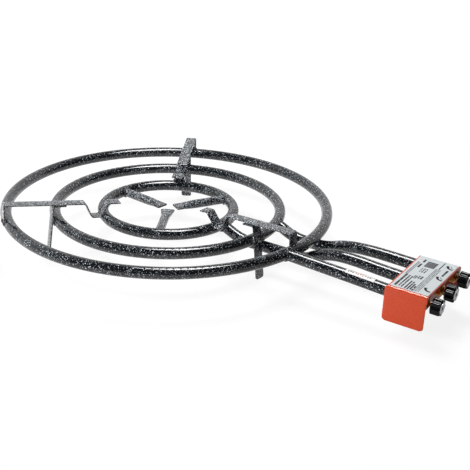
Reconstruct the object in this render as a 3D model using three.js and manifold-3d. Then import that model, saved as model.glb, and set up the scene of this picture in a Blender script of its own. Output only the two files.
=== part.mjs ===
import * as THREE from 'three';
import { mergeVertices } from 'three/addons/utils/BufferGeometryUtils.js';
import Module from 'manifold-3d';

const wasm = await Module();
wasm.setup();

// Three-ring gas burner for paella pans. All sizes are in millimetres.
// The part is built with the rings' centre on the Z axis, the knobs towards +X and the floor at Z = 0.
// The last step moves it along X, so that the origin is the middle of its bounding box's base.

const GAP = 0.3;
const RING_HEIGHT = 72;

// Rings and feed tubes are made of the same tube.
const TUBE_RADIUS = 10;
const TUBE_BORE_RADIUS = 8.4;
const TUBE_SIDES = 12;
const RINGS = {
  outer: { radius: 290, z: RING_HEIGHT, segments: 44 },
  middle: { radius: 204.8, z: RING_HEIGHT - 6.2, segments: 36 },
  inner: { radius: 119.2, z: RING_HEIGHT - 10.3, segments: 28 },
};
const BORE_SIDES = 6;
const FEED_HOLE_RADIUS = 6.5;

// Taps, feed tubes and knobs stand in one row across the handle end. The feed tubes' ends fall towards
// the taps, and the taps, the rail and their frame are built level and then lean by the same angle.
const TAP_PITCH = 56;
const TAP_Z = RING_HEIGHT - 9.4;
const TAP_FALL_DEGREES = 1.8;
const TAP_ROWS = [-TAP_PITCH, 0, TAP_PITCH];
const FEED_END_X = 478;

// Spokes inside the inner ring.
const SPOKE_RADIUS = 8;
const SPOKE_BORE_RADIUS = 6.6;
const SPOKE_TIP_RADIUS = 8.5;
const SPOKE_DIRECTIONS = [61.5, 173, 299];
const SPOKE_TIP_WIDTH = 25;
const SPOKE_TIP_THICKNESS = 4.2;

// Pan supports and legs are made of the same steel strip. Each support has a line of radius and height
// above the rings' plane: foot on the outer ring, bar, hook, landing, rise over the inner ring and tab.
const STRIP_WIDTH = 20;
const STRIP_THICKNESS = 2.5;
const SUPPORT_BENDS = [3.5, 5, 7, 3, 4];
const SUPPORTS = [
  {
    direction: -8,
    turn: 2,
    line: [[290.4, 10.3], [289, 32.4], [155, 24], [142.5, -4.4], [129.6, -4.1], [109.6, 18.9], [94, 17.2]],
  },
  {
    direction: 118,
    turn: 0,
    line: [[292.4, 10.3], [291, 32.8], [156.5, 20.8], [146, -6], [130.4, -6.6], [114.2, 16.6], [93.5, 15]],
  },
  {
    direction: 237,
    turn: 0,
    line: [[298.4, 7.5], [297, 34.4], [156.5, 20.8], [146, -6], [130.4, -6.6], [114.2, 16.6], [93.5, 15]],
  },
];
const LEG_TOP_RADIUS = 213;
const LEG_FOOT_RADIUS = 225.2;
const LEG_CORNER_RADIUS = 4;

// Cover over the taps.
const COVER_X = [466, 535.5];
const COVER_WIDTH = 137;
const COVER_TOP_Z = RING_HEIGHT + 5;
const COVER_BOTTOM_Z = RING_HEIGHT - 54.2;
const COVER_THICKNESS = 1.5;
const COVER_BEND = 3.6;
const COVER_CORNER_RADIUS = 5;
const COVER_LIP_HEIGHT = 4;
const COVER_TAB_WIDTH = 9;
const COVER_TAB_HEIGHT = 10.5;
const COVER_SIDE_END_X = 534;
const COVER_SIDE_SLANT = 4;

// Gas rail under the taps.
const RAIL_X = 504;
const RAIL_Z = TAP_Z - 27;
const RAIL_RADIUS = 9;
const RAIL_BORE_RADIUS = 7;
const RAIL_Y = [-66.4, 71];
const TAP_INLET_BORE_RADIUS = 3;
const INLET_HOLE_RADIUS = 12.5;
const INLET_FLATS = 22;

// Frame that ties the feed tubes, the rail and the cover together.
const FRAME_X = [468, 518];
const FRAME_WEB_END_X = 484;
const FRAME_WIDTH = 133.4;
const FRAME_THICKNESS = 2;
const FRAME_TOP_Z = RING_HEIGHT - 20.8;
const FRAME_BOTTOM_Z = RING_HEIGHT - 49;
const FRAME_WALL_X = [514.4, 515.9];
const FRAME_WALL_Z = [RING_HEIGHT - 28, RING_HEIGHT + 1.5];
const FRAME_WALL_HALF_WIDTH = 62;

// Sticker on the front feed tube, whose axis falls by a small slope towards the tap.
const STICKER_X = [394, 444];
const STICKER_THICKNESS = 0.4;
const STICKER_AXIS_Z = RING_HEIGHT - 6.5;
const STICKER_FALL_DEGREES = 2.8;
const STICKER_HALF_ANGLE = 48;

// Tap parts along X, counted from the ring side.
const INJECTOR_X = [470, 485];
const TAP_BODY_X = [485.3, 516];
const TAP_NECK_RADIUS = 8.5;
const GLAND_X = [516.3, 533.5];
const GLAND_FLATS = 20;
const GLAND_NECK_RADIUS = 8.5;
const SPINDLE_X = [500, 550.5];
const SPINDLE_RADIUS = 3.2;
const TAP_BORE_RADIUS = 3.5;
const SPRING_X = [519.5, 528.2];
const SPRING_RADIUS = 4.6;
const SPRING_WIRE_RADIUS = 0.45;
const SPRING_TURNS = 4;
const COLLAR_X = [528.5, 530.5];
const COLLAR_RADIUS = 5.7;
const GLAND_NECK_X = 532;
const GLAND_BORE_RADIUS = 6;
const INJECTOR_JET_RADIUS = 0.9;
const KNOB_X = [540, 553.5];
const KNOB_RADIUS = 13.7;
const KNOB_EDGE = 0.8;
const KNOB_FLUTES = 8;
const KNOB_FLUTE_DEPTH = 1.6;
const KNOB_BORE_DEPTH = 11;
const KNOB_RECESS_DEPTH = 1.6;
const KNOB_RECESS_RADIUS = 2.2;

// Flat on the spindle's end, which the knob's bore fits.
const FLAT_START_X = 541.2;
const FLAT_HEIGHT = 1.9;

function material(color, roughness, metalness) {
  return new THREE.MeshStandardMaterial({ color, roughness, metalness });
}
const ENAMEL = material(0x1d2023, 0.3, 0.1);
const POWDER_COAT = material(0xd2491f, 0.45, 0.1);
const LABEL = material(0xdfe3e4, 0.4, 0.2);
const STICKER = material(0xf0f0ee, 0.6, 0);
const BRASS = material(0xc59a45, 0.3, 0.9);
const STEEL = material(0xa9adb1, 0.35, 0.9);
const PLASTIC = material(0x101012, 0.25, 0);

const group = new THREE.Group();
group.name = 'paella_burner';

// Turns a closed three.js geometry into a solid that can be joined and cut.
function solid(geometry) {
  const bare = geometry.clone();
  bare.deleteAttribute('normal');
  bare.deleteAttribute('uv');
  const merged = mergeVertices(bare, 1e-3);
  return new wasm.Manifold(new wasm.Mesh({
    numProp: 3,
    vertProperties: new Float32Array(merged.attributes.position.array),
    triVerts: new Uint32Array(merged.index.array),
  }));
}

function addPiece(name, body, pieceMaterial) {
  const data = body.getMesh();
  const geometry = new THREE.BufferGeometry();
  geometry.setAttribute('position', new THREE.BufferAttribute(new Float32Array(data.vertProperties), 3));
  geometry.setIndex(new THREE.BufferAttribute(new Uint32Array(data.triVerts), 1));
  geometry.computeVertexNormals();
  const mesh = new THREE.Mesh(geometry, pieceMaterial);
  mesh.name = name;
  group.add(mesh);
}

function turned(body, degrees) {
  return body.rotate([0, 0, degrees]);
}

function addLeaningPiece(name, body, pieceMaterial) {
  const leaning = body
    .translate([-FEED_END_X, 0, -TAP_Z])
    .rotate([0, TAP_FALL_DEGREES, 0])
    .translate([FEED_END_X, 0, TAP_Z]);
  addPiece(name, leaning, pieceMaterial);
}

// A straight round bar between two points.
function rod(from, to, radius, sides = 20) {
  const start = new THREE.Vector3(...from);
  const end = new THREE.Vector3(...to);
  const bar = new THREE.CylinderGeometry(radius, radius, start.distanceTo(end), sides);
  const up = new THREE.Vector3(0, 1, 0);
  const direction = end.clone().sub(start).normalize();
  bar.applyQuaternion(new THREE.Quaternion().setFromUnitVectors(up, direction));
  const middle = start.add(end).multiplyScalar(0.5);
  bar.translate(middle.x, middle.y, middle.z);
  return solid(bar);
}

function box(x, y, z) {
  const block = new THREE.BoxGeometry(x[1] - x[0], y[1] - y[0], z[1] - z[0]);
  block.translate((x[0] + x[1]) / 2, (y[0] + y[1]) / 2, (z[0] + z[1]) / 2);
  return solid(block);
}

// A turned piece on the tap axis: profile holds pairs of X and radius.
function turnedOnX(profile, y, z, sides = 24) {
  const points = profile.map(([x, radius]) => new THREE.Vector2(radius, x));
  const lathe = new THREE.LatheGeometry(points, sides);
  lathe.rotateZ(-Math.PI / 2);
  lathe.translate(0, y, z);
  return solid(lathe);
}

function hexagonOnX(x, acrossFlats, y, z) {
  const bar = new THREE.CylinderGeometry(acrossFlats / Math.sqrt(3), acrossFlats / Math.sqrt(3), x[1] - x[0], 6);
  bar.rotateZ(-Math.PI / 2);
  bar.translate((x[0] + x[1]) / 2, y, z);
  return solid(bar);
}

// Outline of a rectangle whose low corners are rounded.
function plateOutline(left, right, bottom, top, radius) {
  const outline = new THREE.Shape();
  outline.moveTo(left, top);
  outline.lineTo(left, bottom + radius);
  outline.absarc(left + radius, bottom + radius, radius, Math.PI, Math.PI * 1.5, false);
  outline.lineTo(right - radius, bottom);
  outline.absarc(right - radius, bottom + radius, radius, Math.PI * 1.5, Math.PI * 2, false);
  outline.lineTo(right, top);
  outline.closePath();
  return outline;
}

// Replaces every inner corner of a line by a bend with the given radius.
function bentLine(corners, steps = 4) {
  const line = [new THREE.Vector2(...corners[0].at)];
  for (let i = 1; i < corners.length - 1; i += 1) {
    const before = new THREE.Vector2(...corners[i - 1].at);
    const corner = new THREE.Vector2(...corners[i].at);
    const after = new THREE.Vector2(...corners[i + 1].at);
    const back = before.sub(corner).normalize();
    const ahead = after.sub(corner).normalize();
    const halfAngle = Math.acos(THREE.MathUtils.clamp(back.dot(ahead), -1, 1)) / 2;
    const reach = corners[i].bend / Math.tan(halfAngle);
    const start = corner.clone().addScaledVector(back, reach);
    const end = corner.clone().addScaledVector(ahead, reach);
    const curve = new THREE.QuadraticBezierCurve(start, corner, end);
    line.push(...curve.getPoints(steps));
  }
  line.push(new THREE.Vector2(...corners[corners.length - 1].at));
  return line;
}

// A strip seen from its side: the line thickened by half the thickness on both sides.
function stripOutline(line, thickness) {
  const left = [];
  const right = [];
  line.forEach((point, i) => {
    const back = line[Math.max(i - 1, 0)];
    const ahead = line[Math.min(i + 1, line.length - 1)];
    const along = ahead.clone().sub(back).normalize();
    const side = new THREE.Vector2(-along.y, along.x).multiplyScalar(thickness / 2);
    left.push(point.clone().add(side));
    right.push(point.clone().sub(side));
  });
  return new THREE.Shape([...left, ...right.reverse()]);
}

// Strip bent in the plane of radius and height, centred across the +X direction.
function radialStrip(corners) {
  const shape = stripOutline(bentLine(corners), STRIP_THICKNESS);
  const strip = new THREE.ExtrudeGeometry(shape, { depth: STRIP_WIDTH, bevelEnabled: false });
  strip.rotateX(Math.PI / 2);
  strip.translate(0, STRIP_WIDTH / 2, 0);
  return solid(strip);
}

function ringBody(ring, tubeRadius, sides = TUBE_SIDES) {
  const torus = new THREE.TorusGeometry(ring.radius, tubeRadius, sides, ring.segments);
  torus.translate(0, 0, ring.z);
  return solid(torus);
}

function polygon(radius, sides) {
  const points = [];
  for (let i = 0; i < sides; i += 1) {
    const angle = (i / sides) * Math.PI * 2;
    points.push(new THREE.Vector2(radius * Math.cos(angle), radius * Math.sin(angle)));
  }
  return points;
}

// A hollow tube along a line of points.
function tubeAlong(points, steps) {
  const path = new THREE.CatmullRomCurve3(points.map((point) => new THREE.Vector3(...point)));
  const wall = new THREE.Shape(polygon(TUBE_RADIUS, TUBE_SIDES));
  wall.holes.push(new THREE.Path(polygon(TUBE_BORE_RADIUS, BORE_SIDES).reverse()));
  return solid(new THREE.ExtrudeGeometry(wall, { steps, extrudePath: path }));
}

// Each feed tube leaves its ring at y, dips where it passes under the larger rings, and ends at a tap.
const FEEDS = {
  outer: {
    y: -TAP_PITCH,
    line: [[284.6, -0.4], [292, -0.8], [350, -3.4], [410, -6], [450, -8.2], [FEED_END_X, -9.4]],
    steps: 8,
  },
  inner: {
    y: 0,
    line: [[119.2, -10.3], [134, -16.5], [152, -24], [172, -28], [205, -28.5], [260, -28.5], [292, -28],
      [311, -21.5], [328, -12.5], [350, -5.6], [385, -4.6], [420, -6.8], [450, -8.4], [FEED_END_X, -9.4]],
    steps: 28,
  },
  middle: {
    y: TAP_PITCH,
    line: [[197, -6.2], [210, -11.5], [228, -19.5], [246, -23.5], [270, -24.5], [291, -24],
      [308, -21], [328, -14.5], [350, -10], [385, -7.6], [420, -7.8], [450, -8.6], [FEED_END_X, -9.4]],
    steps: 24,
  },
};

function feedPoints(feed) {
  return feed.line.map(([x, z]) => [x, feed.y, RING_HEIGHT + z]);
}

// The hole in a ring's wall through which its feed tube blows, along the tube's first stretch.
function feedHole(feed) {
  const [start, next] = feedPoints(feed).map((point) => new THREE.Vector3(...point));
  const direction = next.clone().sub(start).normalize();
  const inside = start.clone();
  const outside = start.clone().addScaledVector(direction, 18);
  return rod(inside.toArray(), outside.toArray(), FEED_HOLE_RADIUS, 12);
}

function addRings() {
  for (const [name, ring] of Object.entries(RINGS)) {
    let tube = ringBody(ring, TUBE_RADIUS);
    tube = tube.subtract(ringBody(ring, TUBE_BORE_RADIUS, BORE_SIDES));
    tube = tube.subtract(feedHole(FEEDS[name]));
    if (name === 'inner') {
      for (const direction of SPOKE_DIRECTIONS) {
        const from = [ring.radius - 14, 0, ring.z];
        const to = [ring.radius, 0, ring.z];
        tube = tube.subtract(turned(rod(from, to, SPOKE_BORE_RADIUS - 1.4, 12), direction));
      }
    }
    addPiece(`${name}_ring_tube`, tube, ENAMEL);
  }
}

function addFeedTubes() {
  for (const [name, feed] of Object.entries(FEEDS)) {
    const seat = ringBody(RINGS[name], TUBE_RADIUS + GAP);
    const tube = tubeAlong(feedPoints(feed), feed.steps).subtract(seat);
    addPiece(`${name}_feed_tube`, tube, ENAMEL);
  }
}

// A tube whose section changes along X: stations hold X, half width and half height.
function lofted(stations, sides = 16) {
  const positions = [];
  const triangles = [];
  for (const [x, halfWidth, halfHeight] of stations) {
    for (let i = 0; i < sides; i += 1) {
      const angle = (i / sides) * Math.PI * 2;
      positions.push(x, halfWidth * Math.cos(angle), halfHeight * Math.sin(angle));
    }
  }
  for (let s = 0; s < stations.length - 1; s += 1) {
    for (let i = 0; i < sides; i += 1) {
      const a = s * sides + i;
      const b = s * sides + (i + 1) % sides;
      triangles.push(a, b, a + sides, b, b + sides, a + sides);
    }
  }
  const last = (stations.length - 1) * sides;
  for (let i = 1; i < sides - 1; i += 1) {
    triangles.push(0, i + 1, i);
    triangles.push(last, last + i, last + i + 1);
  }
  const geometry = new THREE.BufferGeometry();
  geometry.setAttribute('position', new THREE.Float32BufferAttribute(positions, 3));
  geometry.setIndex(triangles);
  const body = solid(geometry);
  return body.volume() < 0 ? solid(geometry.scale(1, -1, 1)) : body;
}

function addSpokes() {
  const wall = SPOKE_RADIUS - SPOKE_BORE_RADIUS;
  const tip = SPOKE_TIP_RADIUS;
  const tipHalfWidth = SPOKE_TIP_WIDTH / 2;
  const tipHalfHeight = SPOKE_TIP_THICKNESS / 2;
  const rootX = RINGS.inner.radius - 4;
  const outside = lofted([
    [tip, tipHalfWidth, tipHalfHeight],
    [tip + 9, tipHalfWidth - 1, tipHalfHeight + 0.4],
    [tip + 20, 10, 5.2],
    [tip + 34, SPOKE_RADIUS, SPOKE_RADIUS],
    [rootX, SPOKE_RADIUS, SPOKE_RADIUS],
  ]);
  const inside = lofted([
    [tip + 9, tipHalfWidth - 1 - wall, tipHalfHeight + 0.4 - wall],
    [tip + 20, 10 - wall, 5.2 - wall],
    [tip + 34, SPOKE_BORE_RADIUS, SPOKE_BORE_RADIUS],
    [rootX + 1, SPOKE_BORE_RADIUS, SPOKE_BORE_RADIUS],
  ]);
  const seat = ringBody(RINGS.inner, TUBE_RADIUS + GAP);
  SPOKE_DIRECTIONS.forEach((direction, i) => {
    const spoke = turned(outside.subtract(inside).translate([0, 0, RINGS.inner.z]), direction);
    addPiece(`spoke_${i + 1}`, spoke.subtract(seat), ENAMEL);
  });
}

// Turns a radial piece about its outer end and then to its support's direction.
function placed(body, { direction, turn }) {
  const end = RINGS.outer.radius;
  return turned(turned(body.translate([-end, 0, 0]), turn).translate([end, 0, 0]), direction);
}

function addSupports() {
  SUPPORTS.forEach((support, i) => {
    const corners = support.line.map(([radius, height], n) => ({
      at: [radius, RING_HEIGHT + height],
      bend: SUPPORT_BENDS[n - 1],
    }));
    addPiece(`pan_support_${i + 1}`, placed(radialStrip(corners), support), ENAMEL);
  });
}

function addLegs() {
  const corners = [
    { at: [LEG_TOP_RADIUS - 22, RING_HEIGHT + 21.1] },
    { at: [LEG_TOP_RADIUS, RING_HEIGHT + 23.05], bend: 4 },
    { at: [LEG_FOOT_RADIUS, -1] },
  ];
  const outline = plateOutline(-STRIP_WIDTH / 2, STRIP_WIDTH / 2, 0, RING_HEIGHT * 2, LEG_CORNER_RADIUS);
  const trim = new THREE.ExtrudeGeometry(outline, { depth: 80, bevelEnabled: false, curveSegments: 4 });
  trim.rotateX(Math.PI / 2);
  trim.rotateZ(Math.PI / 2);
  trim.translate(LEG_FOOT_RADIUS - 60, 0, 0);
  const leg = radialStrip(corners).intersect(solid(trim));
  SUPPORTS.forEach((support, i) => {
    addPiece(`leg_${i + 1}`, placed(leg, support), ENAMEL);
  });
}

// Side view of the cover: below the corner tabs its sides end a little behind the front of its top.
function coverOutline() {
  const [back, front] = COVER_X;
  const radius = COVER_CORNER_RADIUS;
  const tabBottom = COVER_TOP_Z - COVER_TAB_HEIGHT;
  const outline = new THREE.Shape();
  outline.moveTo(back, COVER_TOP_Z + 5);
  outline.lineTo(back, COVER_BOTTOM_Z + radius);
  outline.absarc(back + radius, COVER_BOTTOM_Z + radius, radius, Math.PI, Math.PI * 1.5, false);
  outline.lineTo(COVER_SIDE_END_X - radius, COVER_BOTTOM_Z);
  outline.absarc(COVER_SIDE_END_X - radius, COVER_BOTTOM_Z + radius, radius, Math.PI * 1.5, Math.PI * 2, false);
  outline.lineTo(COVER_SIDE_END_X, tabBottom - COVER_SIDE_SLANT);
  outline.lineTo(front, tabBottom);
  outline.lineTo(front, COVER_TOP_Z + 5);
  outline.closePath();
  return outline;
}

function addCover() {
  const side = (COVER_WIDTH - COVER_THICKNESS) / 2;
  const top = COVER_TOP_Z - COVER_THICKNESS / 2;
  const line = bentLine([
    { at: [-side, COVER_BOTTOM_Z] },
    { at: [-side, top], bend: COVER_BEND },
    { at: [side, top], bend: COVER_BEND },
    { at: [side, COVER_BOTTOM_Z] },
  ]);
  const length = COVER_X[1] - COVER_X[0];
  const sheet = new THREE.ExtrudeGeometry(stripOutline(line, COVER_THICKNESS), {
    depth: length,
    bevelEnabled: false,
  });
  sheet.rotateX(Math.PI / 2);
  sheet.rotateZ(Math.PI / 2);
  sheet.translate(COVER_X[0], 0, 0);
  const depth = COVER_WIDTH + 2;
  const trim = new THREE.ExtrudeGeometry(coverOutline(), { depth, bevelEnabled: false, curveSegments: 4 });
  trim.rotateX(Math.PI / 2);
  trim.translate(0, depth / 2, 0);
  const inletHole = rod([RAIL_X, side - 5, RAIL_Z], [RAIL_X, side + 5, RAIL_Z], INLET_HOLE_RADIUS);

  // The lip hangs from the front of the top and ends in a longer tab at each corner.
  const lipX = [COVER_X[1] - COVER_THICKNESS, COVER_X[1]];
  const tabStart = side - COVER_TAB_WIDTH;
  const lip = box(lipX, [-side, side], [COVER_TOP_Z - COVER_LIP_HEIGHT, top])
    .add(box(lipX, [-side, -tabStart], [COVER_TOP_Z - COVER_TAB_HEIGHT, top]))
    .add(box(lipX, [tabStart, side], [COVER_TOP_Z - COVER_TAB_HEIGHT, top]));
  const cover = solid(sheet).intersect(solid(trim)).add(lip).subtract(inletHole);
  addPiece('tap_cover', cover, POWDER_COAT);

  const label = [COVER_X[0] + 2.5, COVER_X[1] - 3.5];
  const labelHalf = COVER_WIDTH / 2 - 4.4;
  const labelTop = COVER_TOP_Z + GAP + 0.5;
  addPiece('label_plate', box(label, [-labelHalf, labelHalf], [COVER_TOP_Z + GAP, labelTop]), LABEL);
}

// Frame under the feed tubes' ends: a web, two ears that hold the gas rail and the cover, and a front
// wall that the necks of the tap bodies pass through.
function addTapFrame() {
  const half = FRAME_WIDTH / 2 - FRAME_THICKNESS / 2;
  const line = bentLine([
    { at: [-half, FRAME_BOTTOM_Z] },
    { at: [-half, FRAME_TOP_Z], bend: 2 },
    { at: [half, FRAME_TOP_Z], bend: 2 },
    { at: [half, FRAME_BOTTOM_Z] },
  ]);
  const channel = new THREE.ExtrudeGeometry(stripOutline(line, FRAME_THICKNESS), {
    depth: FRAME_X[1] - FRAME_X[0],
    bevelEnabled: false,
  });
  channel.rotateX(Math.PI / 2);
  channel.rotateZ(Math.PI / 2);
  channel.translate(FRAME_X[0], 0, 0);
  const inside = FRAME_WIDTH / 2 - FRAME_THICKNESS;
  const tapRoom = box([FRAME_WEB_END_X, FRAME_X[1] + 1], [-inside, inside], [FRAME_TOP_Z - 4, FRAME_TOP_Z + 4]);
  const railHole = rod([RAIL_X, -80, RAIL_Z], [RAIL_X, 80, RAIL_Z], RAIL_RADIUS + GAP);
  const [wallBottom, wallTop] = FRAME_WALL_Z;
  let wall = box(FRAME_WALL_X, [-FRAME_WALL_HALF_WIDTH, FRAME_WALL_HALF_WIDTH], [wallBottom, wallTop])
    .add(box(FRAME_WALL_X, [-inside - 1, inside + 1], [wallBottom, FRAME_TOP_Z - 3]));
  for (const y of TAP_ROWS) {
    const neckHole = rod([FRAME_WALL_X[0] - 5, y, TAP_Z], [FRAME_WALL_X[1] + 5, y, TAP_Z], TAP_NECK_RADIUS + 0.5, 16);
    wall = wall.subtract(neckHole);
  }
  const frame = solid(channel).subtract(tapRoom).add(wall).subtract(railHole);
  addLeaningPiece('tap_frame', frame, POWDER_COAT);
}

function addGasRail() {
  const onAxis = (from, to, radius) => rod([RAIL_X, from, RAIL_Z], [RAIL_X, to, RAIL_Z], radius);
  const [start, end] = RAIL_Y;
  let rail = onAxis(start, end, RAIL_RADIUS).subtract(onAxis(start - 5, end + 5, RAIL_BORE_RADIUS));
  for (const y of TAP_ROWS) {
    rail = rail.subtract(rod([RAIL_X, y, RAIL_Z], [RAIL_X, y, RAIL_Z + 12], TAP_INLET_BORE_RADIUS, 12));
  }
  addLeaningPiece('gas_rail', rail, STEEL);
  addLeaningPiece('rail_end_plug', onAxis(start + 0.5, start + 8, RAIL_BORE_RADIUS - GAP), STEEL);

  // Pairs of radius and distance from the rail's end: a nut, a neck and the thread for a hose.
  const profile = [[4, 0], [11, 0], [12, 2], [12, 9], [8, 9], [8, 11], [7, 12], [7, 21], [6, 22], [4, 22], [4, 0]];
  const nozzle = new THREE.LatheGeometry(profile.map((pair) => new THREE.Vector2(...pair)), 18);
  nozzle.translate(RAIL_X, end + GAP, RAIL_Z);
  const flats = new THREE.CylinderGeometry(INLET_FLATS / Math.sqrt(3), INLET_FLATS / Math.sqrt(3), 60, 6);
  flats.translate(RAIL_X, end + 20, RAIL_Z);
  addLeaningPiece('gas_inlet', solid(nozzle).intersect(solid(flats)), BRASS);
}

function springPath(y) {
  const curve = new THREE.Curve();
  const length = SPRING_X[1] - SPRING_X[0] - 2 * SPRING_WIRE_RADIUS;
  curve.getPoint = (t, target = new THREE.Vector3()) => {
    const angle = t * SPRING_TURNS * Math.PI * 2;
    const x = SPRING_X[0] + SPRING_WIRE_RADIUS + t * length;
    return target.set(x, y + SPRING_RADIUS * Math.cos(angle), TAP_Z + SPRING_RADIUS * Math.sin(angle));
  };
  return curve;
}

// The least gap between two turns of a spring, measured on points of its path.
function leastGap(path) {
  const stepsPerTurn = 24;
  const steps = SPRING_TURNS * stepsPerTurn;
  const points = path.getPoints(steps);
  let least = Infinity;
  for (let i = 0; i <= steps; i += 1) {
    for (let j = i + stepsPerTurn / 2; j <= steps; j += 1) {
      least = Math.min(least, points[i].distanceTo(points[j]) - 2 * SPRING_WIRE_RADIUS);
    }
  }
  return least;
}

function knobSolid() {
  const steps = KNOB_FLUTES * 4;
  const outline = new THREE.Shape();
  for (let i = 0; i < steps; i += 1) {
    const angle = (i / steps) * Math.PI * 2;
    const wave = 0.5 - 0.5 * Math.cos(angle * KNOB_FLUTES);
    const radius = KNOB_RADIUS - KNOB_EDGE - KNOB_FLUTE_DEPTH * wave;
    const point = [radius * Math.cos(angle), radius * Math.sin(angle)];
    if (i === 0) {
      outline.moveTo(...point);
    } else {
      outline.lineTo(...point);
    }
  }
  const knob = new THREE.ExtrudeGeometry(outline, {
    depth: KNOB_X[1] - KNOB_X[0] - 2 * KNOB_EDGE,
    bevelThickness: KNOB_EDGE,
    bevelSize: KNOB_EDGE,
    bevelSegments: 1,
  });
  knob.rotateY(Math.PI / 2);
  knob.translate(KNOB_X[0] + KNOB_EDGE, 0, 0);
  const bore = rod([KNOB_X[0] - 1, 0, 0], [KNOB_X[0] + KNOB_BORE_DEPTH, 0, 0], SPINDLE_RADIUS + GAP, 16);
  const flat = box([FLAT_START_X + GAP, KNOB_X[1]], [-8, 8], [FLAT_HEIGHT + GAP, 8]);
  const recess = rod([KNOB_X[1] - KNOB_RECESS_DEPTH, 0, 0], [KNOB_X[1] + 1, 0, 0], KNOB_RECESS_RADIUS, 12);
  return solid(knob).subtract(bore.subtract(flat)).subtract(recess);
}

function addTap(number, y, knob) {
  const along = (from, to, radius, sides = 16) => rod([from, y, TAP_Z], [to, y, TAP_Z], radius, sides);
  const down = (top, bottom, radius) => rod([RAIL_X, y, top], [RAIL_X, y, bottom], radius, 12);
  const openEnd = GLAND_X[1] + 5;

  const nozzle = along(INJECTOR_X[0], INJECTOR_X[1] - 5, 3.5, 12);
  const nozzleHead = hexagonOnX([INJECTOR_X[1] - 6, INJECTOR_X[1]], 10, y, TAP_Z);
  const jet = along(INJECTOR_X[0] - 5, INJECTOR_X[1] + 5, INJECTOR_JET_RADIUS, 8);
  addLeaningPiece(`injector_${number}`, nozzle.add(nozzleHead).subtract(jet), BRASS);

  // Pairs of X and radius: the stem, the barrel with its two chamfers and the neck under the gland nut.
  const [back, front] = TAP_BODY_X;
  const profile = [[back, 0], [back, 5], [back + 1, 6], [492, 6], [492, 10], [493, 11],
    [513, 11], [514, 10], [514, TAP_NECK_RADIUS], [front, TAP_NECK_RADIUS], [front, 0]];
  const body = turnedOnX(profile, y, TAP_Z, 16)
    .add(down(TAP_Z, RAIL_Z, 6))
    .subtract(rod([RAIL_X, y - 12, RAIL_Z], [RAIL_X, y + 12, RAIL_Z], RAIL_RADIUS + GAP))
    .subtract(along(SPINDLE_X[0] - 4, openEnd, TAP_BORE_RADIUS))
    .subtract(along(back - 5, SPINDLE_X[0], 1.6, 8))
    .subtract(down(TAP_Z - 2, RAIL_Z, TAP_INLET_BORE_RADIUS));
  addLeaningPiece(`tap_body_${number}`, body, BRASS);

  const gland = hexagonOnX([GLAND_X[0], GLAND_NECK_X], GLAND_FLATS, y, TAP_Z)
    .add(along(GLAND_NECK_X - 1, GLAND_X[1], GLAND_NECK_RADIUS))
    .subtract(along(GLAND_X[0] - 5, openEnd, TAP_BORE_RADIUS))
    .subtract(along(SPRING_X[0] - GAP, openEnd, GLAND_BORE_RADIUS));
  addLeaningPiece(`gland_nut_${number}`, gland, BRASS);

  const flat = box([FLAT_START_X, KNOB_X[1]], [y - 5, y + 5], [TAP_Z + FLAT_HEIGHT, TAP_Z + 6]);
  addLeaningPiece(`spindle_${number}`, along(SPINDLE_X[0], SPINDLE_X[1], SPINDLE_RADIUS).subtract(flat), BRASS);

  const wire = new THREE.Shape(polygon(SPRING_WIRE_RADIUS, 5));
  const path = springPath(y);
  const spring = new THREE.ExtrudeGeometry(wire, { steps: SPRING_TURNS * 8, extrudePath: path });
  console.log(`return_spring_${number}: least gap between turns ${leastGap(path).toFixed(2)} mm`);
  addLeaningPiece(`return_spring_${number}`, solid(spring), STEEL);

  const collar = along(COLLAR_X[0], COLLAR_X[1], COLLAR_RADIUS)
    .subtract(along(COLLAR_X[0] - 5, openEnd, TAP_BORE_RADIUS));
  addLeaningPiece(`push_collar_${number}`, collar, STEEL);

  addLeaningPiece(`knob_${number}`, knob.translate([0, y, TAP_Z]), PLASTIC);
}

function addTaps() {
  const knob = knobSolid();
  TAP_ROWS.forEach((y, i) => addTap(i + 1, y, knob));
}

// Printed sticker that lies over the top of the front feed tube.
function addTubeSticker() {
  const inner = TUBE_RADIUS + GAP;
  const start = THREE.MathUtils.degToRad(90 - STICKER_HALF_ANGLE);
  const end = THREE.MathUtils.degToRad(90 + STICKER_HALF_ANGLE);
  const outline = new THREE.Shape();
  outline.absarc(0, 0, inner + STICKER_THICKNESS, start, end, false);
  outline.absarc(0, 0, inner, end, start, true);
  const length = STICKER_X[1] - STICKER_X[0];
  const sheet = new THREE.ExtrudeGeometry(outline, { depth: length, bevelEnabled: false, curveSegments: 6 });
  sheet.rotateX(Math.PI / 2);
  sheet.rotateZ(Math.PI / 2);
  sheet.translate(-length / 2, 0, 0);
  sheet.rotateY(THREE.MathUtils.degToRad(STICKER_FALL_DEGREES));
  sheet.translate((STICKER_X[0] + STICKER_X[1]) / 2, FEEDS.outer.y, STICKER_AXIS_Z);
  addPiece('tube_sticker', solid(sheet), STICKER);
}

addRings();
addFeedTubes();
addSpokes();
addSupports();
addLegs();
addCover();
addTapFrame();
addGasRail();
addTaps();
addTubeSticker();

// Moves the origin to the middle of the bounding box's base.
const bounds = new THREE.Box3().setFromObject(group);
const middle = bounds.getCenter(new THREE.Vector3());
for (const mesh of group.children) {
  mesh.geometry.translate(-middle.x, -middle.y, -bounds.min.z);
}

export default group;
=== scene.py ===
import math

import bmesh
import bpy
import numpy as np
from mathutils import Matrix, Vector, noise


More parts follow.
